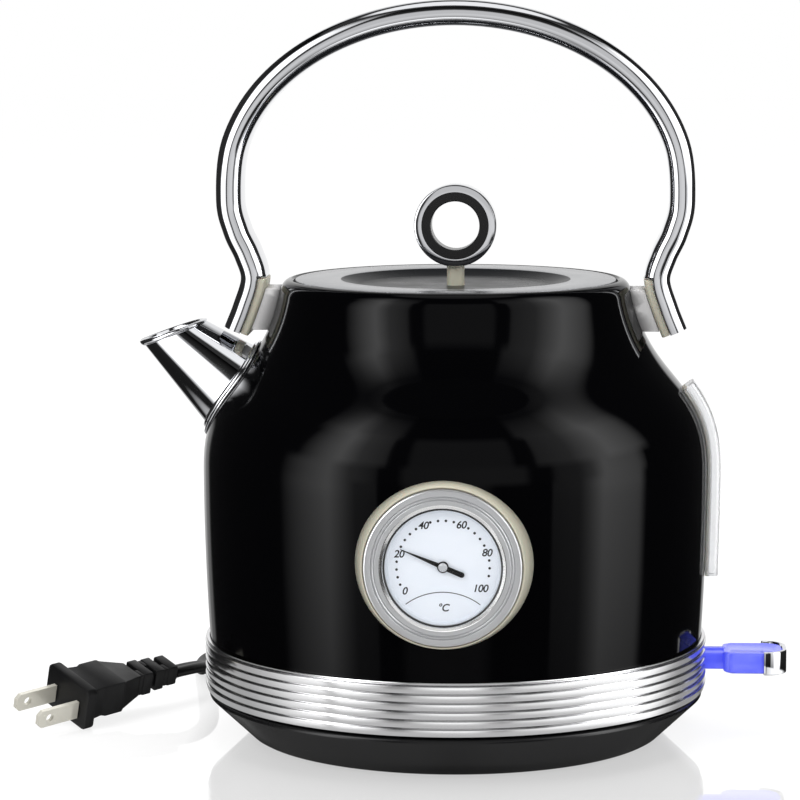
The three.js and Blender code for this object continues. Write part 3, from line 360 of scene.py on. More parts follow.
def fine_lines(name, colour, roughness, across, along, low, high, depth, bands=(90, 90, 90), **sockets):
    """Fine lines of polishing or rolling: noise stretched along the lines, in the gloss and the relief.
    across and along are the sizes in mm of one streak, and bands picks the axes it is stretched on."""
    made, tree = new_material(name, colour, roughness, **sockets)
    place = object_place(tree)
    stretched = add_node(tree, "Mapping", {"Vector": place, "Scale": bands}).outputs[0]
    streaks = noise(tree, 1 / across, 3, stretched)
    smudges = noise(tree, 1000 / along, 4, place)
    mixed = calculate(tree, "MULTIPLY", streaks, smudges)
    return wire(made, Roughness=remap(tree, mixed, low, high, 0.1, 0.5),
                Normal=bumps(tree, streaks, 0.3, depth))


# nickel plate on stamped brass: warm silver, with the long scratches of being plugged in
nickel_plate = fine_lines("nickel_plate", "#ebe8dc", 0.22, 0.35, 20, 0.16, 0.3, 0.004, (150, 150, 1000),
                          Metallic=0.4)
dress(nickel_plate, "plug_blade_left", "plug_blade_right")


# ---------------------------------------------------------------- strain relief of the base
# A tapered sleeve of soft PVC, moulded on the cord and clamped behind the base's wall by its
# flange. Rings of grooves run round it.
def trace(places):
    """Starts a piece in edit mode as a line from place to place, in metres, left selected."""
    deselect()
    bpy.ops.mesh.primitive_plane_add(size=mm, location=places[0])
    mode("EDIT")
    bpy.ops.mesh.select_mode(type="VERT")
    select_all()
    bpy.ops.mesh.merge(type="CENTER")
    for start, end in zip(places, places[1:]):
        extrude(end - start)
    select_all()


def clean_faces():
    """Joins the points that coincide and turns the faces outwards."""
    select_all()
    bpy.ops.mesh.remove_doubles(threshold=0.002 * mm)
    bpy.ops.mesh.normals_make_consistent(inside=False)
    mode("OBJECT")


def turn(name, outline, spot=(0, 0, 0), facing="Z", steps=96, edge=0.0, angle=35):
    """A round piece: its outline of (radius, height) in mm is drawn point by point and spun once
    round. facing is the way its height runs from its spot, and edge rounds its corners."""
    spot = Vector(spot)
    out = Vector((1, 0, 0))
    rise = {"Z": Vector((0, 0, 1)), "front": Vector((0, -1, 0)), "back": Vector((0, 1, 0))}[facing]
    trace([(spot + out * radius + rise * height) * mm for radius, height in outline])
    bpy.ops.mesh.spin(steps=steps, angle=2 * pi, center=spot * mm, axis=rise)
    clean_faces()
    if edge:
        soften(edge)
    return place_done(name, angle)


relief_low, relief_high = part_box("cord_strain_relief")
relief_x = (relief_low.x + relief_high.x) / 2 / mm
relief_z = (relief_low.z + relief_high.z) / 2 / mm
relief_line = [(0, 40), (5.2, 40), (5.2, 42), (4.3, 42), (4.3, 73), (5.5, 73.4), (5.5, 76)]
for ring in range(6):
    start = 76 + 3.2 * ring
    wide = 5.4 - 0.19 * ring
    relief_line += [(wide, start), (wide - 1.1, start + 0.4), (wide - 1.1, start + 1.4),
                    (wide - 0.1, start + 1.8)]
relief_line += [(4.3, 96), (4.0, 97), (0, 97)]
relief = turn("base_cord_relief", relief_line, (relief_x, 0, relief_z), "back", 48, 0.2)
fit(relief, pvc_sheath, "power_base", "black_rubber", "cord_strain_relief")

# ---------------------------------------------------------------- power base
# The stand that the kettle is lifted from: a round moulding in black ABS with a sloping flank, a
# screwed bottom plate, four rubber feet and, in the middle, the connector with its brass earth pin.
# moulded ABS, spark-eroded tool: an even fine grain that turns the light into a soft sheen
black_abs = moulded("moulded_abs", "#111112", 0.3, "#131314", "#0f0f10", 0.35, 0.01, 0.2, 0.28, IOR=1.5,
                    Specular_IOR_Level=0.25)
base_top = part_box("base_shell")[1]
base_radius, base_z = base_top.x / mm, base_top.z / mm
base_bottom_radius, foot_height, base_round = 69.5, 1.2, 1.5
tower_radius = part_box("base_connector")[1].x / mm
base_line = [(base_bottom_radius - 2, foot_height + 0.4), (base_bottom_radius - 1.6, foot_height),
             (base_bottom_radius - 0.4, foot_height)]
flank_bottom, flank_top = Vector((base_bottom_radius, foot_height)), Vector((base_radius, base_z - base_round))
base_line += [(flank_bottom.lerp(flank_top, share)).to_tuple() for share in (0.04, 0.35, 0.7, 1)]
base_line += [on_circle(base_radius - base_round, base_z - base_round, base_round, a)
              for a in range(15, 91, 15)]
base_line += [(40, base_z), (39.4, base_z - 0.5), (37.6, base_z - 0.5), (37, base_z), (20, base_z),
              (19.6, base_z - 0.6), (tower_radius + 0.5, base_z - 0.6), (tower_radius + 0.3, base_z - 0.9),
              (tower_radius + 0.3, base_z - 2), (78.5, base_z - 2), (base_bottom_radius - 2, foot_height + 2.4),
              (base_bottom_radius - 2, foot_height + 0.4)]


def cut(piece, tool, operation="DIFFERENCE"):
    """Cuts a tool out of a piece, or keeps only what they share, and throws the tool away."""
    bpy.context.view_layer.objects.active = piece
    made = piece.modifiers.new("cut", "BOOLEAN")
    made.operation = operation
    made.object = tool
    made.solver = "EXACT"
    bpy.ops.object.modifier_apply(modifier=made.name)
    bpy.data.objects.remove(tool)
    return piece


base_shell = turn("base_moulding", base_line, steps=160)
relief_hole = turn("relief_hole", [(0, 60), (4.6, 60), (4.6, 90), (0, 90)], (relief_x, 0, relief_z), "back", 48)
fit(cut(base_shell, relief_hole), black_abs, "power_base", "black_plastic", "base_shell")

plate_line = [(0, 3.2), (0, foot_height + 0.6)]
for radius in (12, 26, 49):
    plate_line += [(radius - 1, foot_height + 0.6), (radius, foot_height), (radius + 9, foot_height),
                   (radius + 10, foot_height + 0.6)]
plate_line += [(65, foot_height + 0.6), (65.6, foot_height), (67, foot_height), (67.2, foot_height + 0.3),
               (67.2, 3.2), (0, 3.2)]
fit(turn("base_underside", plate_line, steps=128), black_abs, "power_base", "black_plastic",
    "base_bottom_plate")

# moulded nitrile rubber: matt, slightly dusty, with a ring of grip ridges
foot_rubber = moulded("nitrile_rubber", "#1a1a1a", 0.8, "#232323", "#141414", 0.4, 0.05, 0.7, 0.9)
for foot in range(1, 5):
    low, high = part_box(f"base_foot_{foot}")
    foot_line = [(0, 2.2), (0, 0.5), (2.4, 0.5), (2.8, 0), (3.4, 0), (3.7, 0.3), (4, 0), (4.6, 0), (4.9, 0.3),
                 (5.2, 0), (5.7, 0), (6, 0.3), (6, 2.2), (0, 2.2)]
    middle = (low + high) / 2 / mm
    foot_piece = turn(f"base_foot_pad_{foot}", foot_line, (middle.x, middle.y, 0), steps=32)
    fit(foot_piece, foot_rubber, "power_base", "black_rubber", f"base_foot_{foot}")

# zinc-plated steel screws: bright, faintly streaked
plated_steel = fine_lines("zinc_plated_steel", "#b9bcc0", 0.3, 0.3, 12, 0.2, 0.42, 0.01, Metallic=1.0)
for screw in range(1, 4):
    low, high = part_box(f"base_screw_{screw}")
    middle = (low + high) / 2 / mm
    head_z = low.z / mm
    screw_line = [(0, head_z + 0.2), (2.2, head_z), (2.8, head_z + 0.15), (3, head_z + 0.5),
                  (2.9, head_z + 0.9), (1.4, head_z + 0.9), (1.4, head_z + 9), (0, head_z + 9.9)]
    screw_piece = turn(f"base_plate_screw_{screw}", screw_line, (middle.x, middle.y, 0), steps=32)
    for angle in (0, pi / 2):
        deselect()
        bpy.ops.mesh.primitive_cube_add(size=mm, location=(middle.x * mm, middle.y * mm, head_z * mm))
        bpy.context.object.scale = (3, 0.6, 1)
        bpy.context.object.rotation_euler.z = angle
        cut(screw_piece, place_done("screw_slot"))
    fit(screw_piece, plated_steel, "power_base", "steel", f"base_screw_{screw}")

# glass-filled nylon: dark, slightly mottled, holds the contacts
dark_nylon = moulded("glass_filled_nylon", "#2a2a2e", 0.45, "#323236", "#222225", 0.5, 0.03, 0.35, 0.55,
                     IOR=1.53)
tower_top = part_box("base_connector")[1].z / mm
tower_line = [(2.9, 11.7), (tower_radius + 5, 11.7), (tower_radius + 5, 13.7), (tower_radius, 13.7),
              (tower_radius, tower_top - 1), (tower_radius - 0.3, tower_top - 0.3),
              (tower_radius - 1, tower_top), (9.8, tower_top), (9.5, tower_top - 0.3), (9.5, tower_top - 8),
              (7, tower_top - 8), (7, tower_top - 0.3), (6.7, tower_top), (4.5, tower_top),
              (2.9, tower_top - 0.8), (2.9, 11.7)]
fit(turn("base_connector_tower", tower_line, steps=80), dark_nylon, "power_base", "dark_plastic",
    "base_connector")
# turned brass: yellow, with fine lathe lines
turned_brass = fine_lines("turned_brass", "#c9a65a", 0.3, 0.2, 15, 0.2, 0.4, 0.02, (100, 100, 1000),
                          Metallic=1.0)
pin_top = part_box("base_earth_pin")[1].z / mm
pin_line = [(0, 11.7), (2.6, 11.7), (2.6, pin_top - 1.6), (2.3, pin_top - 0.8), (1.6, pin_top - 0.2),
            (0, pin_top)]
fit(turn("base_earth_contact", pin_line, steps=40), turned_brass, "power_base", "brass", "base_earth_pin")

# ---------------------------------------------------------------- kettle shell
# The vessel: one deep-drawn stainless sheet, straight round the barrel and drawn in over a domed
# shoulder to the rim, with a turned-in ledge for the lid. It is black enamel outside, bare inside.
body_radius, foot_radius, neck_radius = 84.9, 82.9, 59.4
body_bottom, shoulder_z, neck_z, rim_z = 18.6, 91.5, 148.4, 154.5
lid_opening, ledge_radius, ledge_z, sheet = 54.4, 50.4, 151.5, 0.8


def bezier(controls, steps):
    """Points along a Bezier curve, from its control points."""
    row = []
    for i in range(steps + 1):
        layer = [Vector(c) for c in controls]
        while len(layer) > 1:
            layer = [a.lerp(b, i / steps) for a, b in zip(layer, layer[1:])]
        row.append(layer[0])
    return row


def shell_line(offset, fineness=1):
    """The shell's outline from its foot to its rim, moved outwards by an offset in mm."""
    barrel = bezier([(foot_radius, 30.3), (body_radius, 62), (body_radius, shoulder_z)], 10 * fineness)
    shoulder = bezier([barrel[-1], (body_radius, shoulder_z + 30), (neck_radius + 6.7, neck_z - 28.9),
                       (neck_radius, neck_z)], 26 * fineness)
    rim = bezier([shoulder[-1], (neck_radius - 0.9, rim_z - 0.2), (lid_opening + sheet, rim_z)], 10)
    line = [Vector((foot_radius, body_bottom))] + barrel + shoulder[1:] + rim[1:]
    moved = []
    for before, point, after in zip(line[:1] + line, line, line[1:] + line[-1:]):
        along = (after - before).normalized()
        moved.append((point + Vector((along.y, -along.x)) * offset).to_tuple())
    return moved


shell_outline = shell_line(0)
shell_outline += [(lid_opening, rim_z - 0.7), (lid_opening, ledge_z + 0.6), (lid_opening - 0.6, ledge_z),
                  (ledge_radius + 0.5, ledge_z), (ledge_radius, ledge_z - 0.5), (ledge_radius, ledge_z - 4),
                  (ledge_radius + sheet, ledge_z - 4), (ledge_radius + sheet, ledge_z - sheet),
                  (lid_opening + sheet, ledge_z - sheet), (lid_opening + sheet, rim_z - 1.2)]
shell_outline += shell_line(-sheet)[::-1][2:] + [shell_outline[0]]
shell = turn("kettle_shell", shell_outline, steps=192)


def join_loops(name, loops):
    """A skin over a row of ellipses, each (middle, half width in Y, half length, lean from X in
    radians), in mm, closed at both ends."""
    deselect()
    bpy.ops.mesh.primitive_circle_add(vertices=96, radius=mm)
    mode("EDIT")
    for i, (middle, half_y, half_long, lean) in enumerate(loops):
        if i:
            bpy.ops.mesh.primitive_circle_add(vertices=96, radius=mm)
        bpy.ops.transform.resize(value=(half_long, half_y, 1), center_override=(0, 0, 0))
        bpy.ops.transform.rotate(value=lean, orient_axis="Y", center_override=(0, 0, 0))
        bpy.ops.transform.translate(value=Vector(middle) * mm)
        if i in (0, len(loops) - 1):
            bpy.ops.mesh.edge_face_add()
            bpy.ops.mesh.inset(thickness=0.3 * mm)
            bpy.ops.mesh.poke()
    bpy.ops.mesh.select_mode(type="EDGE")
    bpy.ops.mesh.select_all(action="DESELECT")
    bpy.ops.mesh.select_non_manifold()
    bpy.ops.mesh.bridge_edge_loops()
    bpy.ops.mesh.select_mode(type="FACE")
    clean_faces()
    return place_done(name)


mouth_top, mouth_bottom = Vector((-85.4, 140.4)), Vector((-106.2, 133.2))
spout_top, spout_bottom = Vector((-67.2, 130.9)), Vector((-83.9, 104.8))


def spout_loop(share, offset):
    """The spout's outline at a share of the way from its mouth to its foot, grown by an offset."""
    high, low = mouth_top.lerp(spout_top, share), mouth_bottom.lerp(spout_bottom, share)
    middle, half = (high + low) / 2, (high - low) / 2
    half_y = 9.5 + 7.5 * share + offset
    return (middle.x, 0, middle.y), half_y, half.length + offset, atan2(half.y, half.x)


# the slot reaches up by what the lever needs to rock: the sine of its travel, times its reach
pivot_x, lever_z = 74, 25.8
slot_low, rock_sine, slot_reach = 3.6, 0.21, 11.3
slot_high = slot_low + rock_sine * slot_reach
slot_x, slot_depth, slot_width = 85, 24, 13.2
deselect()
bpy.ops.mesh.primitive_cube_add(size=mm, location=(slot_x * mm, 0, 0))
lever_slot = bpy.context.object
lever_slot.scale = (slot_depth, slot_width, slot_low + slot_high)
lever_slot.location.z = (lever_z + (slot_high - slot_low) / 2) * mm
lever_slot = place_done("lever_slot")


def twin_of(piece):
    """A copy with its own mesh."""
    twin = piece.copy()
    twin.data = piece.data.copy()
    bpy.context.scene.collection.objects.link(twin)
    return twin


band_slot = twin_of(lever_slot)
cut(shell, lever_slot)
cut(shell, join_loops("spout_passage", [spout_loop(0.3, -1), spout_loop(1.5, -1)]))
bpy.context.view_layer.objects.active = shell
bpy.ops.object.shade_smooth_by_angle(angle=radians(40))

# black vitreous-look enamel, sprayed and baked: nearly pure black under a deep gloss, with a very
# slight orange peel that only bends the reflections
enamel, tree = new_material("black_enamel", "#030304", 0.06, IOR=1.45, Specular_IOR_Level=0.1)
wire(enamel, Roughness=remap(tree, noise(tree, 25, 3), 0.04, 0.09, 0.35, 0.65),
     Normal=bumps(tree, noise(tree, 1 / (4 * mm), 1), 0.15, 0.01))
fit(shell, enamel, "kettle", "black_paint", "body_shell")
# bare stainless steel inside, drawn and polished: streaks run up and down the wall
drawn_steel = fine_lines("drawn_stainless", "#b4b5b8", 0.28, 0.4, 30, 0.2, 0.38, 0.01, (1000, 1000, 60),
                         Metallic=1.0)
shell.data.materials.append(drawn_steel)
for face in shell.data.polygons:
    radius = hypot(face.center.x, face.center.y)
    inward = face.normal.x * face.center.x + face.normal.y * face.center.y < 0
    if face.center.z < (ledge_z + 0.4) * mm and (inward or radius < (lid_opening + 1) * mm):
        face.material_index = 1

# ---------------------------------------------------------------- trim band
# A ribbed skirt of rolled stainless steel clipped round the foot of the shell, with a plain lip
# above the ribs. It hides the joint between the shell and the plastic bottom.
band_low, band_high = 16.8, 34.3
rib_count = 6
rib_pitch = (band_high - 0.9 - band_low) / rib_count
band_line = [(foot_radius + 0.3, band_low)]
for rib in range(rib_count):
    start = band_low + rib * rib_pitch
    band_line += [(83.8, start), (84.2, start + 0.03), (84.34, start + 0.14), (84.5, start + 0.7),
                  (84.65, start + 1.3), (84.8, start + 1.95), (84.84, start + 2.2), (84.78, start + 2.36),
                  (84.5, start + 2.46), (83.8, start + 2.5)]
band_line += [(84.2, band_high - 0.95), (84.35, band_high - 0.8), (84.52, band_high - 0.25),
              (84.4, band_high - 0.05), (84.1, band_high), (foot_radius + 0.5, band_high),
              (foot_radius + 0.3, band_high - 2), (foot_radius + 0.3, band_low)]
# rolled stainless strip: lines along the roll, so round the kettle, and a half-bright finish
rolled_steel = fine_lines("rolled_stainless", "#d8d8d9", 0.14, 0.25, 60, 0.13, 0.2, 0.002, (40, 40, 1000),
                          Metallic=1.0)
band = cut(turn("foot_band", band_line, steps=192, angle=28), band_slot)
fit(band, rolled_steel, "kettle", "band_steel", "trim_band")

# ---------------------------------------------------------------- bottom of the kettle
# A black cover closes the foot. Its middle holds the socket that drops over the connector tower,
# and two ears inside it carry the switch's pivot pin.
cover_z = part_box("bottom_cover")[0].z / mm
cover_line = [(16.2, cover_z + 0.4), (16.6, cover_z), (24, cover_z), (24.5, cover_z + 0.4), (30, cover_z + 0.4),
              (30.5, cover_z), (60, cover_z), (60.5, cover_z + 0.4), (64, cover_z + 0.4), (64.5, cover_z),
              (foot_radius - 0.5, cover_z), (foot_radius, cover_z + 0.4), (foot_radius, cover_z + 2),
              (81.8, cover_z + 2), (81.8, cover_z + 12), (79.8, cover_z + 12), (79.8, cover_z + 2),
              (16.2, cover_z + 2), (16.2, cover_z + 0.4)]
cover = turn("bottom_closure", cover_line, steps=128)
start_block((7.2, 2, 11.6), (pivot_x, 7.6, 23.7))
add_block((7.2, 2, 11.6), (pivot_x, -7.6, 23.7))
add_block((3.6, 3, 6), (59.8, 0, 21))
mode("OBJECT")
soften(0.4)
ears = place_done("pivot_ears")
fit(ears, black_abs, "kettle", "black_plastic")
fit(cover, black_abs, "kettle", "black_plastic", "bottom_cover")

socket_line = [(2.9, 27.8), (12.3, 27.8), (13.3, 27), (13.3, cover_z + 0.6), (13.9, cover_z), (15.9, cover_z),
               (15.9, cover_z + 2), (19.9, cover_z + 2), (19.9, cover_z + 4), (15.9, cover_z + 4),
               (15.9, 30.8), (2.9, 30.8), (2.9, 27.8)]
fit(turn("bottom_socket", socket_line, steps=80), dark_nylon, "kettle", "dark_plastic", "connector_socket")

# what the shell hides: pressed plate, cast spreader, sheathed element, thermostat, steam tube
plate_line = [(0, 38), (80.6, 38), (81.3, 37.2), (81.4, 34), (82.0, 34), (82.0, 37.6), (81, 39), (0, 39.2)]
fit(turn("boiler_floor", plate_line, steps=128), drawn_steel, "kettle", "steel", "heating_plate")
# sand-cast aluminium: pale grey, grainy, without a polish
cast_aluminium = moulded("cast_aluminium", "#a9abae", 0.5, "#b2b4b7", "#95979a", 1.2, 0.08, 0.4, 0.65,
                         Metallic=1.0)
dress(cast_aluminium, "heat_spreader", "heating_element")
# moulded phenolic: deep black, slightly shiny
phenolic = moulded("phenolic", "#19191a", 0.35, "#202021", "#131313", 0.8, 0.02, 0.28, 0.42)
dress(phenolic, "thermostat_control")
# translucent silicone: milky, waxy sheen
milky_silicone = moulded("silicone_rubber", "#d8d8d4", 0.5, "#dededa", "#cfcfca", 0.7, 0.02, 0.42, 0.6,
                         Subsurface_Weight=0.2, Subsurface_Scale=0.003)
dress(milky_silicone, "steam_tube")
dress(plated_steel, "switch_pivot_pin")

# ---------------------------------------------------------------- spout
# A short tapered spout of chromed sheet with a rolled lip, open all the way into the vessel. A
# stepped flange follows the shell round its foot, and a slotted filter stands in its throat.


def body_block(offset):
    """The kettle's outside as a solid block, grown by an offset, for cutting what lies on it."""
    line = shell_line(offset)
    return turn("body_block", [(0, line[0][1])] + line + [(0, line[-1][1]), (0, line[0][1])], steps=144)


# chrome plate over polished steel: mirror-bright, with only hair lines of wiping in its gloss
chrome_plate = fine_lines("chrome_plate", "#d9dadd", 0.05, 0.3, 40, 0.02, 0.09, 0.002, (60, 60, 60),
                          Metallic=1.0)
spout_lip = [spout_loop(0.03 - 0.033 * cos(radians(a)), 0.9 * sin(radians(a))) for a in range(-40, 181, 20)]
spout_skin = join_loops("spout_tube", spout_lip + [spout_loop(0.1 + 0.1 * ring, 0) for ring in range(14)])
cut(spout_skin, join_loops("spout_bore", [spout_loop(0.25 * ring - 0.5, -1) for ring in range(9)]))
cut(spout_skin, body_block(-0.4))
fit(spout_skin, chrome_plate, "kettle", "chrome", "spout")
for step, (wide, high) in enumerate([(2.6, 0.9), (1.3, 1.7)]):
    collar = join_loops("spout_collar", [spout_loop(0.5, wide), spout_loop(1.4, wide)])
    cut(collar, body_block(high), "INTERSECT")
    cut(collar, body_block(0.02))
    cut(collar, join_loops("spout_bore", [spout_loop(0.3, -0.1), spout_loop(1.5, -0.1)]))
    collar.name = f"spout_flange_{step + 1}"
    fit(collar, chrome_plate, "kettle", "chrome")
dress(drawn_steel, "spout_filter")

# ---------------------------------------------------------------- handle
# A tall fixed arch of chromed steel bar, softly crowned on its faces and bent in at the waist over
# the shell's neck. Its two ends are screwed to the vessel from inside.
def both_sides(side):
    """A section from its points of (outwards, Y) on one side, mirrored for the other."""
    return side + [(t, -y) for t, y in side[::-1]]


handle_half, nose_middle = 4.3, 5.58
handle_rows = [(73.3, 137), (70.1, 145.1), (67.4, 154.5), (69.6, 162.5), (73.2, 170.4)]
handle_rows += [(75.8 * cos(radians(a)), 186 + 57 * sin(radians(a))) for a in (-5, 14, 33, 52, 71)]
handle_rows = handle_rows + [(0, 243)] + [(-x, z) for x, z in handle_rows[::-1]]
handle_path = [tuple(point) for point in smooth(handle_rows, 8)]
handle_side = [(handle_half * sin(radians(a)), nose_middle + handle_half * cos(radians(a)))
               for a in range(90, -91, -9)]
handle_section = both_sides(handle_side)


def draw(corners):
    """Starts a piece in edit mode as one flat face with these corners, in mm."""
    trace([Vector(corner) * mm for corner in corners])
    bpy.ops.mesh.edge_face_add()


def drawn_done(name, edge=0.0, angle=35):
    """Ends a drawn piece: its faces turned outwards, its edges rounded, its place kept."""
    select_all()
    bpy.ops.mesh.normals_make_consistent(inside=False)
    mode("OBJECT")
    if edge:
        soften(edge)
    return place_done(name, angle)


def sweep(name, section_points, path, edge=0.0, angle=35):
    """A bar: its section of (outwards, Y) drawn at the start of a path in X and Z, then extruded
    from point to point of the path and turned with it."""
    places = [Vector((x, 0, z)) for x, z in path]
    ways = [(after - before).normalized()
            for before, after in zip(places[:1] + places, places[1:] + places[-1:])]
    outwards = Vector((ways[0].z, 0, -ways[0].x))
    draw([places[0] + outwards * t + Vector((0, y, 0)) for t, y in section_points])
    for start, end, way, next_way in zip(places, places[1:], ways, ways[1:]):
        turned = atan2(next_way.x, next_way.z) - atan2(way.x, way.z)
        turned = (turned + pi) % (2 * pi) - pi
        extrude((end - start) * mm)
        bpy.ops.transform.rotate(value=-turned, orient_axis="Y", center_override=end * mm)
    return drawn_done(name, edge, angle)


def stretch(path, start, end, steps):
    """The part of a path between two lengths along it, in even steps."""
    row, travelled, wanted = [], 0.0, [start + (end - start) * i / steps for i in range(steps + 1)]
    for a, b in zip(path, path[1:]):
        a, b = Vector(a), Vector(b)
        while wanted and travelled + (b - a).length >= wanted[0]:
            row.append(a.lerp(b, (wanted.pop(0) - travelled) / (b - a).length).to_tuple())
        travelled += (b - a).length
    return row


def turned_copy(piece, name):
    """A copy with its own mesh, turned half round the kettle's axis."""
    twin = twin_of(piece)
    twin.rotation_euler = (0, 0, pi)
    deselect()
    twin.select_set(True)
    bpy.context.view_layer.objects.active = twin
    bpy.ops.object.transform_apply(location=True, rotation=True, scale=True)
    twin.name = twin.data.name = name
    return twin


arch = sweep("handle_arch", handle_section, handle_path, angle=30)
# each end is rebated on its inner side, where the pad is let in flush
pad_length, pad_depth = 19.2, 2.8
pad_face = pad_depth - handle_half
rebate_section = both_sides([(pad_face, 12), (-handle_half - 3, 12)])
rebate = sweep("handle_rebate", rebate_section, [(handle_rows[0][0] + 0.8, handle_rows[0][1] - 2)]
               + stretch(handle_path, 0.5, pad_length, 16))
cut(arch, turned_copy(rebate, "handle_rebate_left"))
cut(arch, rebate)
fit(arch, chrome_plate, "kettle", "chrome", "handle_hoop")

# heat-resistant nylon pads between the bar and the brackets, in a warm beige
beige_nylon = moulded("beige_nylon", "#bfbcaa", 0.45, "#c6c3b2", "#b5b19e", 0.5, 0.02, 0.38, 0.52, IOR=1.53,
                      Subsurface_Weight=0.1, Subsurface_Scale=0.002)
pad_inner, pad_outer, pad_half = -pad_face + 0.1, handle_half + 0.1, 8.6
pad_side = [(-pad_inner, pad_half), (-pad_outer + 0.9, pad_half), (-pad_outer + 0.3, pad_half - 0.3),
            (-pad_outer, pad_half - 1)]
pad_section = both_sides(pad_side)
pad = sweep("handle_rest_right", pad_section, stretch(handle_path, 0.1, pad_length - 0.2, 16), 0.4)
fit(turned_copy(pad, "handle_rest_left"), beige_nylon, "kettle", "beige_plastic", "handle_pad_left")
fit(pad, beige_nylon, "kettle", "beige_plastic", "handle_pad_right")
# the brackets: blocks of grey glass-filled nylon that follow the shell on one side, the pad on the other
grey_nylon = moulded("grey_nylon", "#cdcccc", 0.5, "#d3d2d2", "#c5c4c4", 0.5, 0.03, 0.42, 0.58, IOR=1.53)
bracket_half, bracket_gap, bracket_depth = 7.5, 0.15, 12
bracket_section = both_sides([(-pad_outer - bracket_gap, bracket_half),
                              (-pad_outer - bracket_depth, bracket_half)])
bracket = sweep("handle_bracket_block_right", bracket_section, stretch(handle_path, 0.5, 19.5, 12))
deselect()
bpy.ops.mesh.primitive_cube_add(size=mm, location=(62 * mm, 0, 144.5 * mm))
bpy.context.object.scale = (30, 15, 14)
bpy.ops.object.transform_apply(location=False, rotation=False, scale=True)
soften(0.5)
cut(bracket, place_done("bracket_limit"), "INTERSECT")
cut(bracket, body_block(0.05))
fit(turned_copy(bracket, "handle_bracket_block_left"), grey_nylon, "kettle", "grey_plastic",
    "handle_bracket_left")
fit(bracket, grey_nylon, "kettle", "grey_plastic", "handle_bracket_right")
dress(plated_steel, "handle_screw_left", "handle_screw_right")

# ---------------------------------------------------------------- temperature gauge
# A bimetal thermometer clamped through the shell: a beige nylon bezel cone, a turned aluminium
# ring with two fine grooves, a flat glass, and a lacquered dial with printed dots and numbers.
gauge_z, gauge_face, print_face = 72, 90.5, 87.04
gauge_spot = (0, 0, gauge_z)
bezel_line = [(18.6, 79), (28.2, 79), (28.2, 79.8), (25.9, 87.3), (25.75, 89.2), (25.5, 89.55), (25.25, 89.5),
              (25.2, 88.5), (18.6, 88.5), (18.6, 79)]
bezel = turn("gauge_bezel_cone", bezel_line, gauge_spot, "front", 96)
fit(cut(bezel, body_block(0.05)), beige_nylon, "kettle", "beige_plastic", "gauge_bezel")

# turned and anodised aluminium: fine rings of the tool in a satin grey
satin_aluminium, tree = new_material("anodised_aluminium", "#c8c9cb", 0.38, Metallic=0.85)
about_gauge = add_node(tree, "Mapping", {"Vector": object_place(tree),
                                         "Location": (0, 0, -gauge_z * mm)}).outputs[0]
rings = add_node(tree, "TexWave", {"Vector": about_gauge, "Scale": 1 / (0.35 * mm) / 20, "Distortion": 0.6,
                                   "Detail": 1}, wave_type="RINGS", rings_direction="Y").outputs[1]
wire(satin_aluminium, Roughness=remap(tree, rings, 0.3, 0.45), Normal=bumps(tree, rings, 0.15, 0.01))
ring_line = [(19.9, 88.5), (24.85, 88.5), (24.85, 90), (24.7, 90.3), (24.4, gauge_face), (22.75, gauge_face),
             (22.5, gauge_face - 0.3), (22.2, gauge_face), (21.9, gauge_face), (21.6, gauge_face - 0.3),
             (21.3, gauge_face), (19.9, gauge_face), (19.9, 88.5)]
fit(turn("gauge_face_ring", ring_line, gauge_spot, "front", 128, angle=15), satin_aluminium,
    "kettle", "chrome", "gauge_ring")
# the polished inner edge of the ring, and the dark gasket that the glass is bedded in
buffed_edge = fine_lines("buffed_aluminium", "#fbfbfb", 0.22, 0.3, 30, 0.18, 0.26, 0.002, (60, 60, 60),
                         Metallic=1.0)
fit(turn("gauge_bright_edge", [(18.7, 88.5), (20, 88.5), (20, gauge_face + 0.02), (19.75, gauge_face + 0.08),
                               (18.95, gauge_face - 0.25), (18.7, gauge_face - 0.65), (18.7, 88.5)],
         gauge_spot, "front", 128), buffed_edge, "kettle", "chrome")
gasket = moulded("gasket_rubber", "#161617", 0.5, "#1d1d1e", "#111112", 0.3, 0.02, 0.4, 0.6)
fit(turn("gauge_gasket", [(18.25, 86.6), (18.75, 86.6), (18.75, gauge_face - 0.6), (18.25, gauge_face - 0.85),
                          (18.25, 86.6)], gauge_spot, "front", 96), gasket, "kettle", "black_rubber")
# the dial: a shallow pressed tray with a raised edge, in a pale lacquer
dial_lacquer, tree = new_material("dial_lacquer", "#eef4fd", 0.35)
wire(dial_lacquer, Base_Color=blend(tree, noise(tree, 120, 3), "#f2f7ff", "#eaf1fb"))
dial_line = [(1.7, 86.5), (18.5, 86.5), (18.5, 88.3), (17.9, 88.3), (17.6, 87.4), (17.1, 87), (1.7, 87),
             (1.7, 86.5)]
fit(turn("gauge_dial_plate", dial_line, gauge_spot, "front", 128, angle=25), dial_lacquer,
    "kettle", "dial_white", "gauge_dial")

# screen-printed scale: dots, numbers and one arc, all in a black ink
scale_pieces = []


def keep_print():
    """Takes the active flat piece into the printed scale."""
    scale_pieces.append(bpy.context.object)


def on_dial(radius, angle):
    """A place on the dial's face, from a radius and an angle from +X, in mm."""
    x, z = on_circle(0, gauge_z, radius, angle)
    return Vector((x, -print_face, z)) * mm


scale_start, scale_step, dot_radius, dots_at = 213, 9.74, 0.42, 14.5
for dot in range(1, 24):
    if dot % 5:
        deselect()
        bpy.ops.mesh.primitive_circle_add(vertices=12, radius=dot_radius * mm, fill_type="NGON",
                                          location=on_dial(dots_at, scale_start - scale_step * dot),
                                          rotation=(pi / 2, 0, 0))
        keep_print()


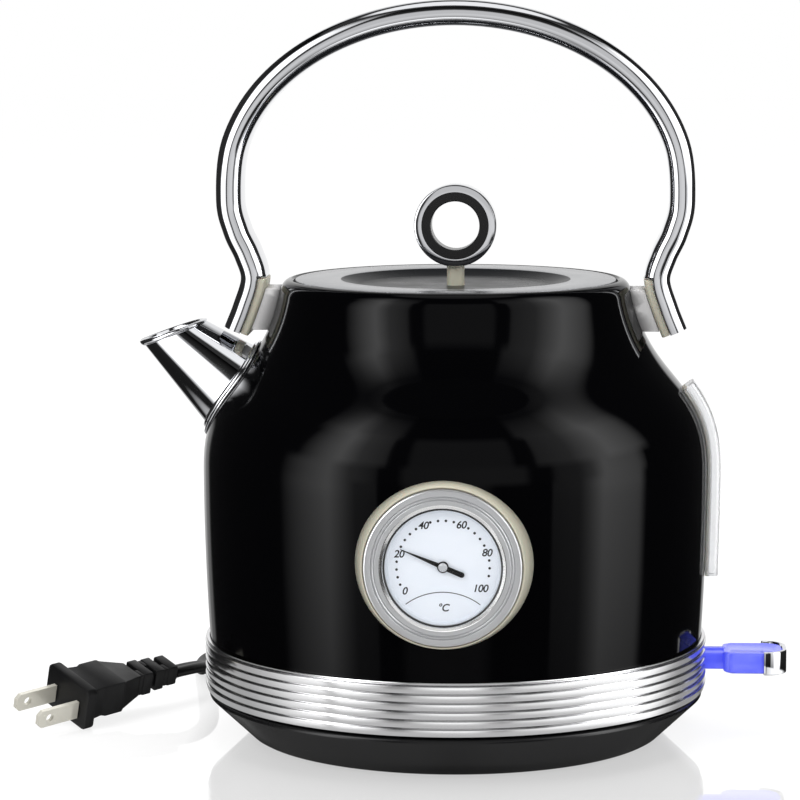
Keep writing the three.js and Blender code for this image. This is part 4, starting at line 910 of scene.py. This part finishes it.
def letter(body, place, size):
    """One printed word or number, upright on the dial, made a mesh."""
    deselect()
    bpy.ops.object.text_add(location=place, rotation=(pi / 2, 0, 0))
    words = bpy.context.object
    words.data.body = body
    words.data.size = size * mm
    words.data.shear = 0.22
    words.data.offset = 0.018 * size * mm
    words.data.space_character = 0.95
    words.data.align_x = "CENTER"
    words.data.align_y = "CENTER"
    bpy.ops.object.convert(target="MESH")
    keep_print()


letter_size = 3.3
for number in range(6):
    numbers_at = 14.3 if number < 5 else 13.4
    letter(str(20 * number), on_dial(numbers_at, scale_start - 5 * scale_step * number), letter_size)
letter("°C", on_dial(13, -90), letter_size)
deselect()
for piece in scale_pieces:
    piece.select_set(True)
bpy.context.view_layer.objects.active = scale_pieces[0]
bpy.ops.object.join()
scale_print = place_done("gauge_scale_print")
scale_ink = moulded("screen_ink", "#08080a", 0.6, "#0b0b0d", "#060607", 0.3, 0.01, 0.5, 0.7)
fit(scale_print, scale_ink, "kettle", "dark_plastic")
arc_radius, arc_drop, arc_half = 19.3, 27.3, 0.13
arc_points = [(arc_radius * sin(radians(a)), gauge_z - arc_drop + arc_radius * cos(radians(a)))
              for a in range(37, -38, -2)]
arc_section = [(-arc_half, -print_face), (arc_half, -print_face), (arc_half, -87.0), (-arc_half, -87.0)]
fit(sweep("gauge_scale_arc", arc_section, arc_points), scale_ink, "kettle", "dark_plastic")
# float glass with a coating against reflections, clear; wiping leaves it a shade less glossy in places
float_glass, tree = new_material("float_glass", "#ffffff", 0.0, IOR=1.15, Transmission_Weight=1.0)
wire(float_glass, Roughness=remap(tree, noise(tree, 150, 2), 0.0, 0.03))
glass_line = [(0, 88.6), (18.2, 88.6), (18.2, 89.5), (18.0, 89.6), (0, 89.6)]
fit(turn("gauge_glass", glass_line, gauge_spot, "front", 96), float_glass, "kettle", "clear_glass",
    "gauge_lens")
dress(turned_brass, "gauge_probe", "gauge_nut")
dress(milky_silicone, "gauge_seal")
dress(drawn_steel, "gauge_housing")

# ---------------------------------------------------------------- needle
# A stamped aluminium pointer, painted matt black, with a counterweight tail. Its hub is riveted on
# the thermometer's steel shaft.
needle_angle = 157.5
needle_ink = moulded("matt_black_paint", "#070708", 0.5, "#0a0a0b", "#050506", 0.3, 0.01, 0.4, 0.6,
                     Specular_IOR_Level=0.2)
needle_back = 87.55
needle_length, tail_length, tail_half = 14.4, 7.2, 0.85
tail_round = [(-tail_length + tail_half * (1 - sin(radians(a))), tail_half * cos(radians(a)))
              for a in range(0, 181, 20)]
needle_outline = [(needle_length, 0.07), (0, 0.75)] + tail_round + [(0, -0.75), (needle_length, -0.07)]
draw([(x, -needle_back, z) for x, z in needle_outline])
extrude((0, -0.4 * mm, 0))
select_all()
bpy.ops.transform.rotate(value=radians(needle_angle), orient_axis="Y", center_override=(0, 0, 0))
bpy.ops.transform.translate(value=(0, 0, gauge_z * mm))
fit(drawn_done("needle_blade", 0.08), needle_ink, "needle", "dark_plastic", "gauge_needle")
hub_line = [(0, 87.5), (1.8, 87.5), (1.8, 87.95), (1.6, 88.15), (0, 88.15)]
fit(turn("needle_hub", hub_line, gauge_spot, "front", 40), needle_ink, "needle", "dark_plastic")
pin_line = [(0, 88), (1.15, 88), (1.15, 88.35), (0.95, 88.48), (0.7, 88.4), (0.45, 88.45), (0, 88.5)]
fit(turn("needle_rivet", pin_line, gauge_spot, "front", 32), plated_steel, "needle", "steel")
dress(plated_steel, "gauge_shaft")

# ---------------------------------------------------------------- water window
# A clear acrylic sight window on the switch's side, moulded to the shell's outline and bonded over
# a beige nylon backing.
window_low, window_high, window_half, window_proud = 55, 121, 7, 4.3
side_line = [point for point in shell_line(0, 2)
             if window_low + 0.5 < point[1] < window_high - window_proud * 0.7]
side_line = [(side_line[0][0], window_low)] + side_line
across = [-6, -3, 0, 3, 6]
crown = 170  # twice the radius of its faces


def crowned(height, row):
    """Points of a face across the window that is crowned like the shell."""
    return [(height - y * y / crown, y) for y in row]


window_side = [(2.6, window_half), (3.4, window_half - 0.35), (4.0, window_half - 1.1)]
window_section = [(-0.2, -window_half), (-0.15, -6.2), (1.2, -6.15)] + crowned(1.4, across)
window_section += [(1.2, 6.15), (-0.15, 6.2), (-0.2, window_half)] + window_side
window_section += crowned(window_proud, (4.4, 2, -2, -4.4)) + [(t, -y) for t, y in window_side[::-1]]
clear_acrylic, tree = new_material("clear_acrylic", "#f1f2f4", 0.05, IOR=1.49, Transmission_Weight=0.85)
wire(clear_acrylic, Roughness=remap(tree, noise(tree, 90, 4), 0.02, 0.16))
fit(sweep("sight_window", window_section, side_line, 0.8, 50), clear_acrylic, "kettle", "clear_plastic",
    "water_window")
backing_section = crowned(1.0, across) + crowned(0.05, across[::-1])
fit(sweep("sight_window_backing", backing_section, side_line), beige_nylon, "kettle", "beige_plastic",
    "window_backing")

# ---------------------------------------------------------------- lid
# A lift-out lid of brushed stainless: a flat ring round a dished centre, over a black inner cap
# that carries the silicone seal. The knob's screw comes up through the middle.
lid_edge, dish_outer, dish_inner, dish_z = 53.8, 38.4, 33.3, 152.2
lid_line = [(1.7, dish_z - 0.8), (dish_inner + 0.4, dish_z - 0.8), (dish_outer + 0.4, rim_z - 0.8),
            (lid_edge - 0.8, rim_z - 0.8), (lid_edge - 0.8, rim_z - 2.2), (lid_edge, rim_z - 2.2),
            (lid_edge, rim_z - 0.5), (lid_edge - 0.15, rim_z - 0.15), (lid_edge - 0.5, rim_z),
            (dish_outer + 0.6, rim_z), (dish_outer + 0.1, rim_z - 0.15), (dish_outer - 0.3, rim_z - 0.5),
            (dish_inner + 0.5, dish_z + 0.35), (dish_inner, dish_z + 0.08), (dish_inner - 0.8, dish_z),
            (1.7, dish_z), (1.7, dish_z - 0.8)]
lid_piece = turn("lid_plate", lid_line, steps=160, angle=25)
# brushed stainless: the belt's fine lines run across the lid
brushed_steel = fine_lines("brushed_stainless", "#8f9093", 0.25, 0.5, 40, 0.2, 0.32, 0.003, (60, 1000, 1000),
                           Metallic=1.0)
fit(lid_piece, brushed_steel, "lid", "steel", "lid_cover")
# the dish is sprayed with a dark grey lacquer that leaves the ring bright
dish_lacquer = moulded("grey_lacquer", "#1b1c1e", 0.35, "#1e1f21", "#18191b", 0.4, 0.01, 0.24, 0.36,
                       Specular_IOR_Level=0.06)
lid_piece.data.materials.append(dish_lacquer)
for face in lid_piece.data.polygons:
    if hypot(face.center.x, face.center.y) < (dish_outer + 0.05) * mm and face.center.z > (dish_z - 0.3) * mm:
        face.material_index = 1
dress(black_abs, "lid_inner_cap")
dress(milky_silicone, "lid_seal")
dress(plated_steel, "knob_screw")

# ---------------------------------------------------------------- knob
# An upright ring to lift the lid by: a chromed rim with rounded edges, lined with a black moulding,
# on a short beige post.
knob_z, knob_radius, knob_half = 172.4, 13.75, 5
knob_spot = (0, 0, knob_z)
rim_line = [(11.25, -knob_half), (13.1, -knob_half), (13.45, -4.85), (13.7, -4.4), (knob_radius, -4),
            (knob_radius, 4), (13.7, 4.4), (13.45, 4.85), (13.1, knob_half), (11.25, knob_half),
            (11.25, -knob_half)]
fit(turn("knob_rim", rim_line, knob_spot, "front", 96, angle=25), chrome_plate, "lid", "chrome", "knob_ring")
liner_line = [(8.4, -4.7), (11.3, -4.7), (11.3, 4.7), (8.4, 4.7), (8.1, 4.4), (8.1, -4.4), (8.4, -4.7)]
fit(turn("knob_liner", liner_line, knob_spot, "front", 96, angle=25), black_abs, "lid", "dark_plastic",
    "knob_insert")
post_line = [(0, dish_z), (2.95, dish_z), (2.95, knob_z - knob_radius + 0.4), (0, knob_z - knob_radius + 0.4)]
fit(turn("knob_stem", post_line, steps=40), beige_nylon, "lid", "beige_plastic", "knob_post")

# ---------------------------------------------------------------- switch
# A rocker lever of translucent blue polycarbonate, with a painted glow in place of the light of the
# indicator lamp inside the kettle. Its paddle has a shallow dish on top and wears a chromed band round its tip.
paddle_x, lever_end = 90.5, 110.7
paddle_half, paddle_thick, corner = 9.25, 7.6, 6


def paddle_outline(start, offset):
    """The paddle seen from above, from a given X, grown by an offset."""
    half, end, turn_radius = paddle_half + offset, lever_end + offset, corner + offset
    row = [(start, -half)]
    for a in range(-90, 91, 10):
        side = -1 if a < 0 else 1
        row.append(on_circle(end - turn_radius, side * (half - turn_radius), turn_radius, a))
    return row + [(start, half)]


# polycarbonate, tinted blue, with a faint painted glow in its own colour standing in for the indicator lamp's
# light; its tone and gloss drift at random
blue_polycarbonate_painted_glow, tree = new_material(
    "blue_polycarbonate_painted_glow", "#6f7cff", 0.12, IOR=1.58, Transmission_Weight=0.5, Emission_Strength=0.15)
tree.nodes["Principled BSDF"].inputs["Emission Color"].default_value = linear("#5a66ff")
cloud = noise(tree, 140, 3)
wire(blue_polycarbonate_painted_glow, Base_Color=blend(tree, cloud, "#8f98ff", "#5563f6"),
     Roughness=remap(tree, cloud, 0.08, 0.2))
draw([(x, y, lever_z - paddle_thick / 2) for x, y in
      [(paddle_x + 2.5, -paddle_half), *paddle_outline(paddle_x + 4, 0)[1:-1], (paddle_x + 2.5, paddle_half),
       (paddle_x, paddle_half - 2.6), (paddle_x, -paddle_half + 2.6)]])
extrude((0, 0, paddle_thick * mm))
bpy.ops.mesh.inset(thickness=1.9 * mm)
bpy.ops.transform.translate(value=(0, 0, -0.6 * mm))
paddle = drawn_done("switch_paddle", 1.3)
start_block((18, 12, 5.6), (83, 0, lever_z))
add_block((6, 6, 3.6), (71, 0, lever_z))
add_block((18, 1.6, 7), (83, 0, lever_z))
mode("OBJECT")
soften(0.6)
fit(place_done("switch_neck"), blue_polycarbonate_painted_glow, "switch", "blue_plastic", "switch_lever")
fit(paddle, blue_polycarbonate_painted_glow, "switch", "blue_plastic")
lever_hub_line = [(1.8, -6), (3.6, -6), (3.6, 6), (1.8, 6), (1.8, -6)]
fit(turn("switch_hub", lever_hub_line, (pivot_x, 0, lever_z), "front", 40, 0.3), blue_polycarbonate_painted_glow,
    "switch", "blue_plastic")
draw([(x, y, lever_z - paddle_thick / 2 - 0.1) for x, y in paddle_outline(104, 1.3)])
extrude((0, 0, (paddle_thick + 0.2) * mm))
band_outer = drawn_done("switch_band", 0.35)
draw([(x, y, lever_z - 10) for x, y in paddle_outline(99, 0.05)])
extrude((0, 0, 20 * mm))
band_hole = drawn_done("switch_band_hole")
fit(cut(band_outer, band_hole), chrome_plate, "switch", "chrome", "switch_tip")
# the indicator lamp: a cast epoxy lens, milky blue
lamp_epoxy = moulded("epoxy_resin", "#9aa6ff", 0.2, "#a5b0ff", "#8894f5", 0.4, 0.01, 0.15, 0.3,
                     Transmission_Weight=0.4)
dress(lamp_epoxy, "indicator_led")

# ---------------------------------------------------------------- floor, cards and lights
# A white table top and a white room. Grey and white cards stand round the kettle, which only shiny
# surfaces see, as a photographer sets them to draw the edges of chrome and black gloss.
deselect()
bpy.ops.mesh.primitive_plane_add(size=12)
floor = place_done("floor")
table, tree = new_material("white_table", "#f6f6f6", 0.5, Specular_IOR_Level=0)
# the table glows white to the camera, is matt to everything else, and mirrors more on the kettle's
# side of an edge that lies just past the spout
glow_strength, matt_share = 1.15, 0.3
mirror_faint, mirror_full, mirror_edge, mirror_roughness = 0.1, 0.33, (-0.09, -0.078), 0.015
glow = add_node(tree, "Emission", {"Color": linear("#ffffff"), "Strength": glow_strength}).outputs[0]
polish = add_node(tree, "BsdfGlossy", {"Color": linear("#ffffff"), "Roughness": mirror_roughness}).outputs[0]
floor_x = add_node(tree, "SeparateXYZ", {"Vector": object_place(tree)}).outputs[0]
polished = remap(tree, floor_x, mirror_faint, mirror_full, *mirror_edge)
path_kind = add_node(tree, "LightPath").outputs
seen = calculate(tree, "MAXIMUM", path_kind["Is Camera Ray"], path_kind["Is Transmission Ray"])
lit = add_node(tree, "MixShader", {0: remap(tree, seen, 1.0, matt_share), 1: glow,
                                   2: tree.nodes["Principled BSDF"].outputs[0]}).outputs[0]
mix = add_node(tree, "MixShader", {0: polished, 1: lit, 2: polish}).outputs[0]
tree.links.new(mix, tree.nodes["Material Output"].inputs["Surface"])
floor.data.materials.append(table)
floor.visible_glossy = False

card_radius, card_low, card_high = 0.4, -0.3, 0.8
deselect()
bpy.ops.mesh.primitive_cylinder_add(vertices=144, radius=card_radius, depth=card_high - card_low,
                                    location=(0, 0, (card_high + card_low) / 2))
cards = place_done("studio_cards")
card_paper = bpy.data.materials.new("card_paper")
card_paper.use_nodes = True
tree = card_paper.node_tree
tree.nodes.remove(tree.nodes["Principled BSDF"])
place = object_place(tree)
from_front = add_node(tree, "Mapping", {"Vector": place, "Rotation": (0, 0, pi / 2)})
around = add_node(tree, "TexGradient", {"Vector": from_front.outputs[0]}, gradient_type="RADIAL")


def card_tones(tones):
    """Grey tones round the room, as (degrees from the front towards +X, tone)."""
    ramp = add_node(tree, "ValToRGB", {"Fac": around.outputs[1]})
    stops = ramp.color_ramp.elements
    for i, (angle, tone) in enumerate(tones):
        stop = stops[i] if i < 2 else stops.new(1)
        stop.position = 0.5 + angle / 360
        stop.color = (tone, tone, tone, 1)
    return ramp.outputs[0]


under_tones = card_tones([(-150, 0.1), (-105, 0.35), (-75, 0.65), (80, 0.65), (110, 0.35), (150, 0.1)])
low_tones = card_tones([(-152, 0.05), (-149, 0.5), (-104, 0.5), (-88, 0.7), (-75, 1.1), (-58, 1.5),
                        (-56, 0.6), (-53, 0.6), (-51, 1.5), (-40, 1.4), (-31, 0.8), (-27, 0.35), (-19, 0.35),
                        (-14, 0.9), (-4, 1.5), (10, 1.5), (15, 0.9), (19, 0.35), (25, 0.35), (29, 1), (50, 1.5),
                        (100, 1.5), (108, 1), (117, 0.5), (124, 0.4), (148, 0.4), (151, 0.05)])
level_tones = card_tones([(-147, 1), (-145, 0.6), (-139, 0.6), (-136, 0.03), (-74, 0.03), (-69, 1.4),
                          (-50, 6.6), (-41, 2.2), (-38, 1.1), (-29.5, 0.8), (-28, 0.03), (-20, 0.03),
                          (-16, 0.6), (-6, 0.75), (12, 0.75), (15, 0.5), (18, 0.03), (41, 0.03),
                          (42, 0.8), (54, 1.1), (58, 2.8), (65, 7), (84, 3.3), (88, 0.03), (150, 0.03),
                          (152, 1)])
middle_tones = card_tones([(-147, 1), (-145, 0.03), (-74, 0.03), (-68, 1.4), (-50, 6.6), (-41, 2.2), (-30, 0.9),
                           (-28, 0.05), (-21, 0.05), (-17, 0.75), (15, 0.9), (30, 0.85), (33, 0.05), (41, 0.05),
                           (44, 0.9), (54, 1.1), (60, 2.8), (66, 7), (84, 3.3), (90, 0.03), (150, 0.03),
                           (152, 1)])
raised_tones = card_tones([(-148, 1), (-146, 0.03), (-68, 0.03), (-62, 2), (-47, 8), (-38, 3), (-27, 1.6),
                           (-25, 0.05), (-18, 0.05), (-15, 0.7), (25, 0.7), (28, 0.05), (35, 0.05), (37, 1.4),
                           (52, 2.2), (71, 8), (88, 3), (95, 0.03), (150, 0.03), (152, 1)])
high_tones = card_tones([(-147, 1), (-145, 0.03), (-72, 0.03), (-64, 2), (-50, 7.5), (-40, 3), (-26, 1.3),
                         (-22, 0.03), (30, 0.03), (34, 1.3), (52, 2.2), (68, 7.5), (86, 3), (94, 0.03),
                         (150, 0.03), (152, 1)])
height = add_node(tree, "SeparateXYZ", {"Vector": place}).outputs[2]


def dimmed(tones, low, high, dark, light):
    """Card tones that change in strength between two heights."""
    strength = remap(tree, height, dark, light, low, high)
    return add_node(tree, "VectorMath", {0: tones, 3: strength}, operation="SCALE").outputs[0]


tones = under_tones
for upper_tones, start, end in [(low_tones, -0.23, -0.2),
                                (dimmed(level_tones, -0.07, 0.08, 0.45, 1), -0.1, -0.085),
                                (middle_tones, 0.095, 0.12), (raised_tones, 0.17, 0.21),
                                (dimmed(high_tones, 0.42, 0.72, 1, 0.1), 0.38, 0.45)]:
    tones = blend(tree, remap(tree, height, 0.0, 1.0, start, end), tones, upper_tones)
# the ceiling: a white middle in a dark rim
rim_inside, rim_outside, ceiling_white, ceiling_dark = 0.22, 0.27, 1.2, 0.04
from_axis = add_node(tree, "VectorMath", {0: place, 1: (1, 1, 0)}, operation="MULTIPLY").outputs[0]
from_middle = add_node(tree, "VectorMath", {0: from_axis}, operation="LENGTH").outputs[1]
ceiling = remap(tree, from_middle, ceiling_white, ceiling_dark, rim_inside, rim_outside)
overhead = remap(tree, height, 0.0, 1.0, card_high - 0.01, card_high - 0.001)
tones = blend(tree, overhead, tones, ceiling)
# the polished floor shows the white room in their place: rays that start on it find a plain white
floor_skin = 0.2 * mm
seen_from = add_node(tree, "NewGeometry").outputs
ray_length = add_node(tree, "LightPath").outputs["Ray Length"]
back_along = add_node(tree, "VectorMath", {0: seen_from["Incoming"], 3: ray_length},
                      operation="SCALE").outputs[0]
ray_start = add_node(tree, "VectorMath", {0: seen_from["Position"], 1: back_along},
                     operation="ADD").outputs[0]
start_height = add_node(tree, "SeparateXYZ", {"Vector": ray_start}).outputs[2]
tones = blend(tree, calculate(tree, "LESS_THAN", start_height, floor_skin), tones, "#ffffff")
card_glow = add_node(tree, "Emission", {"Color": tones, "Strength": 1.0})
tree.links.new(card_glow.outputs[0], tree.nodes["Material Output"].inputs["Surface"])
cards.data.materials.append(card_paper)
cards.visible_camera = cards.visible_diffuse = cards.visible_shadow = cards.visible_transmission = False

bpy.context.scene.view_settings.view_transform = "Standard"
world = bpy.data.worlds.new("white_room")
bpy.context.scene.world = world
world.use_nodes = True
tree = world.node_tree
path_kind = add_node(tree, "LightPath").outputs
seen = calculate(tree, "MAXIMUM", path_kind["Is Camera Ray"], path_kind["Is Glossy Ray"])
seen = calculate(tree, "MAXIMUM", seen, path_kind["Is Transmission Ray"])
tree.links.new(remap(tree, seen, 0.7, 1.0), tree.nodes["Background"].inputs["Strength"])
tree.nodes["Background"].inputs["Color"].default_value = linear("#ffffff")

for name, spot, size, power in [("key_left", (-0.9, -0.9, 1.1), 0.9, 9),
                                ("fill_right", (1.0, -0.7, 0.9), 0.9, 6),
                                ("top", (0, 0.2, 1.4), 1.0, 8)]:
    lamp = bpy.data.lights.new(name, "AREA")
    lamp.size = size
    lamp.energy = power
    lamp_piece = new_object(name, lamp)
    lamp_piece.location = spot
    lamp_piece.rotation_euler = (-Vector(spot) + Vector((0, 0, 0.1))).to_track_quat("-Z", "Y").to_euler()
    lamp_piece.visible_glossy = False
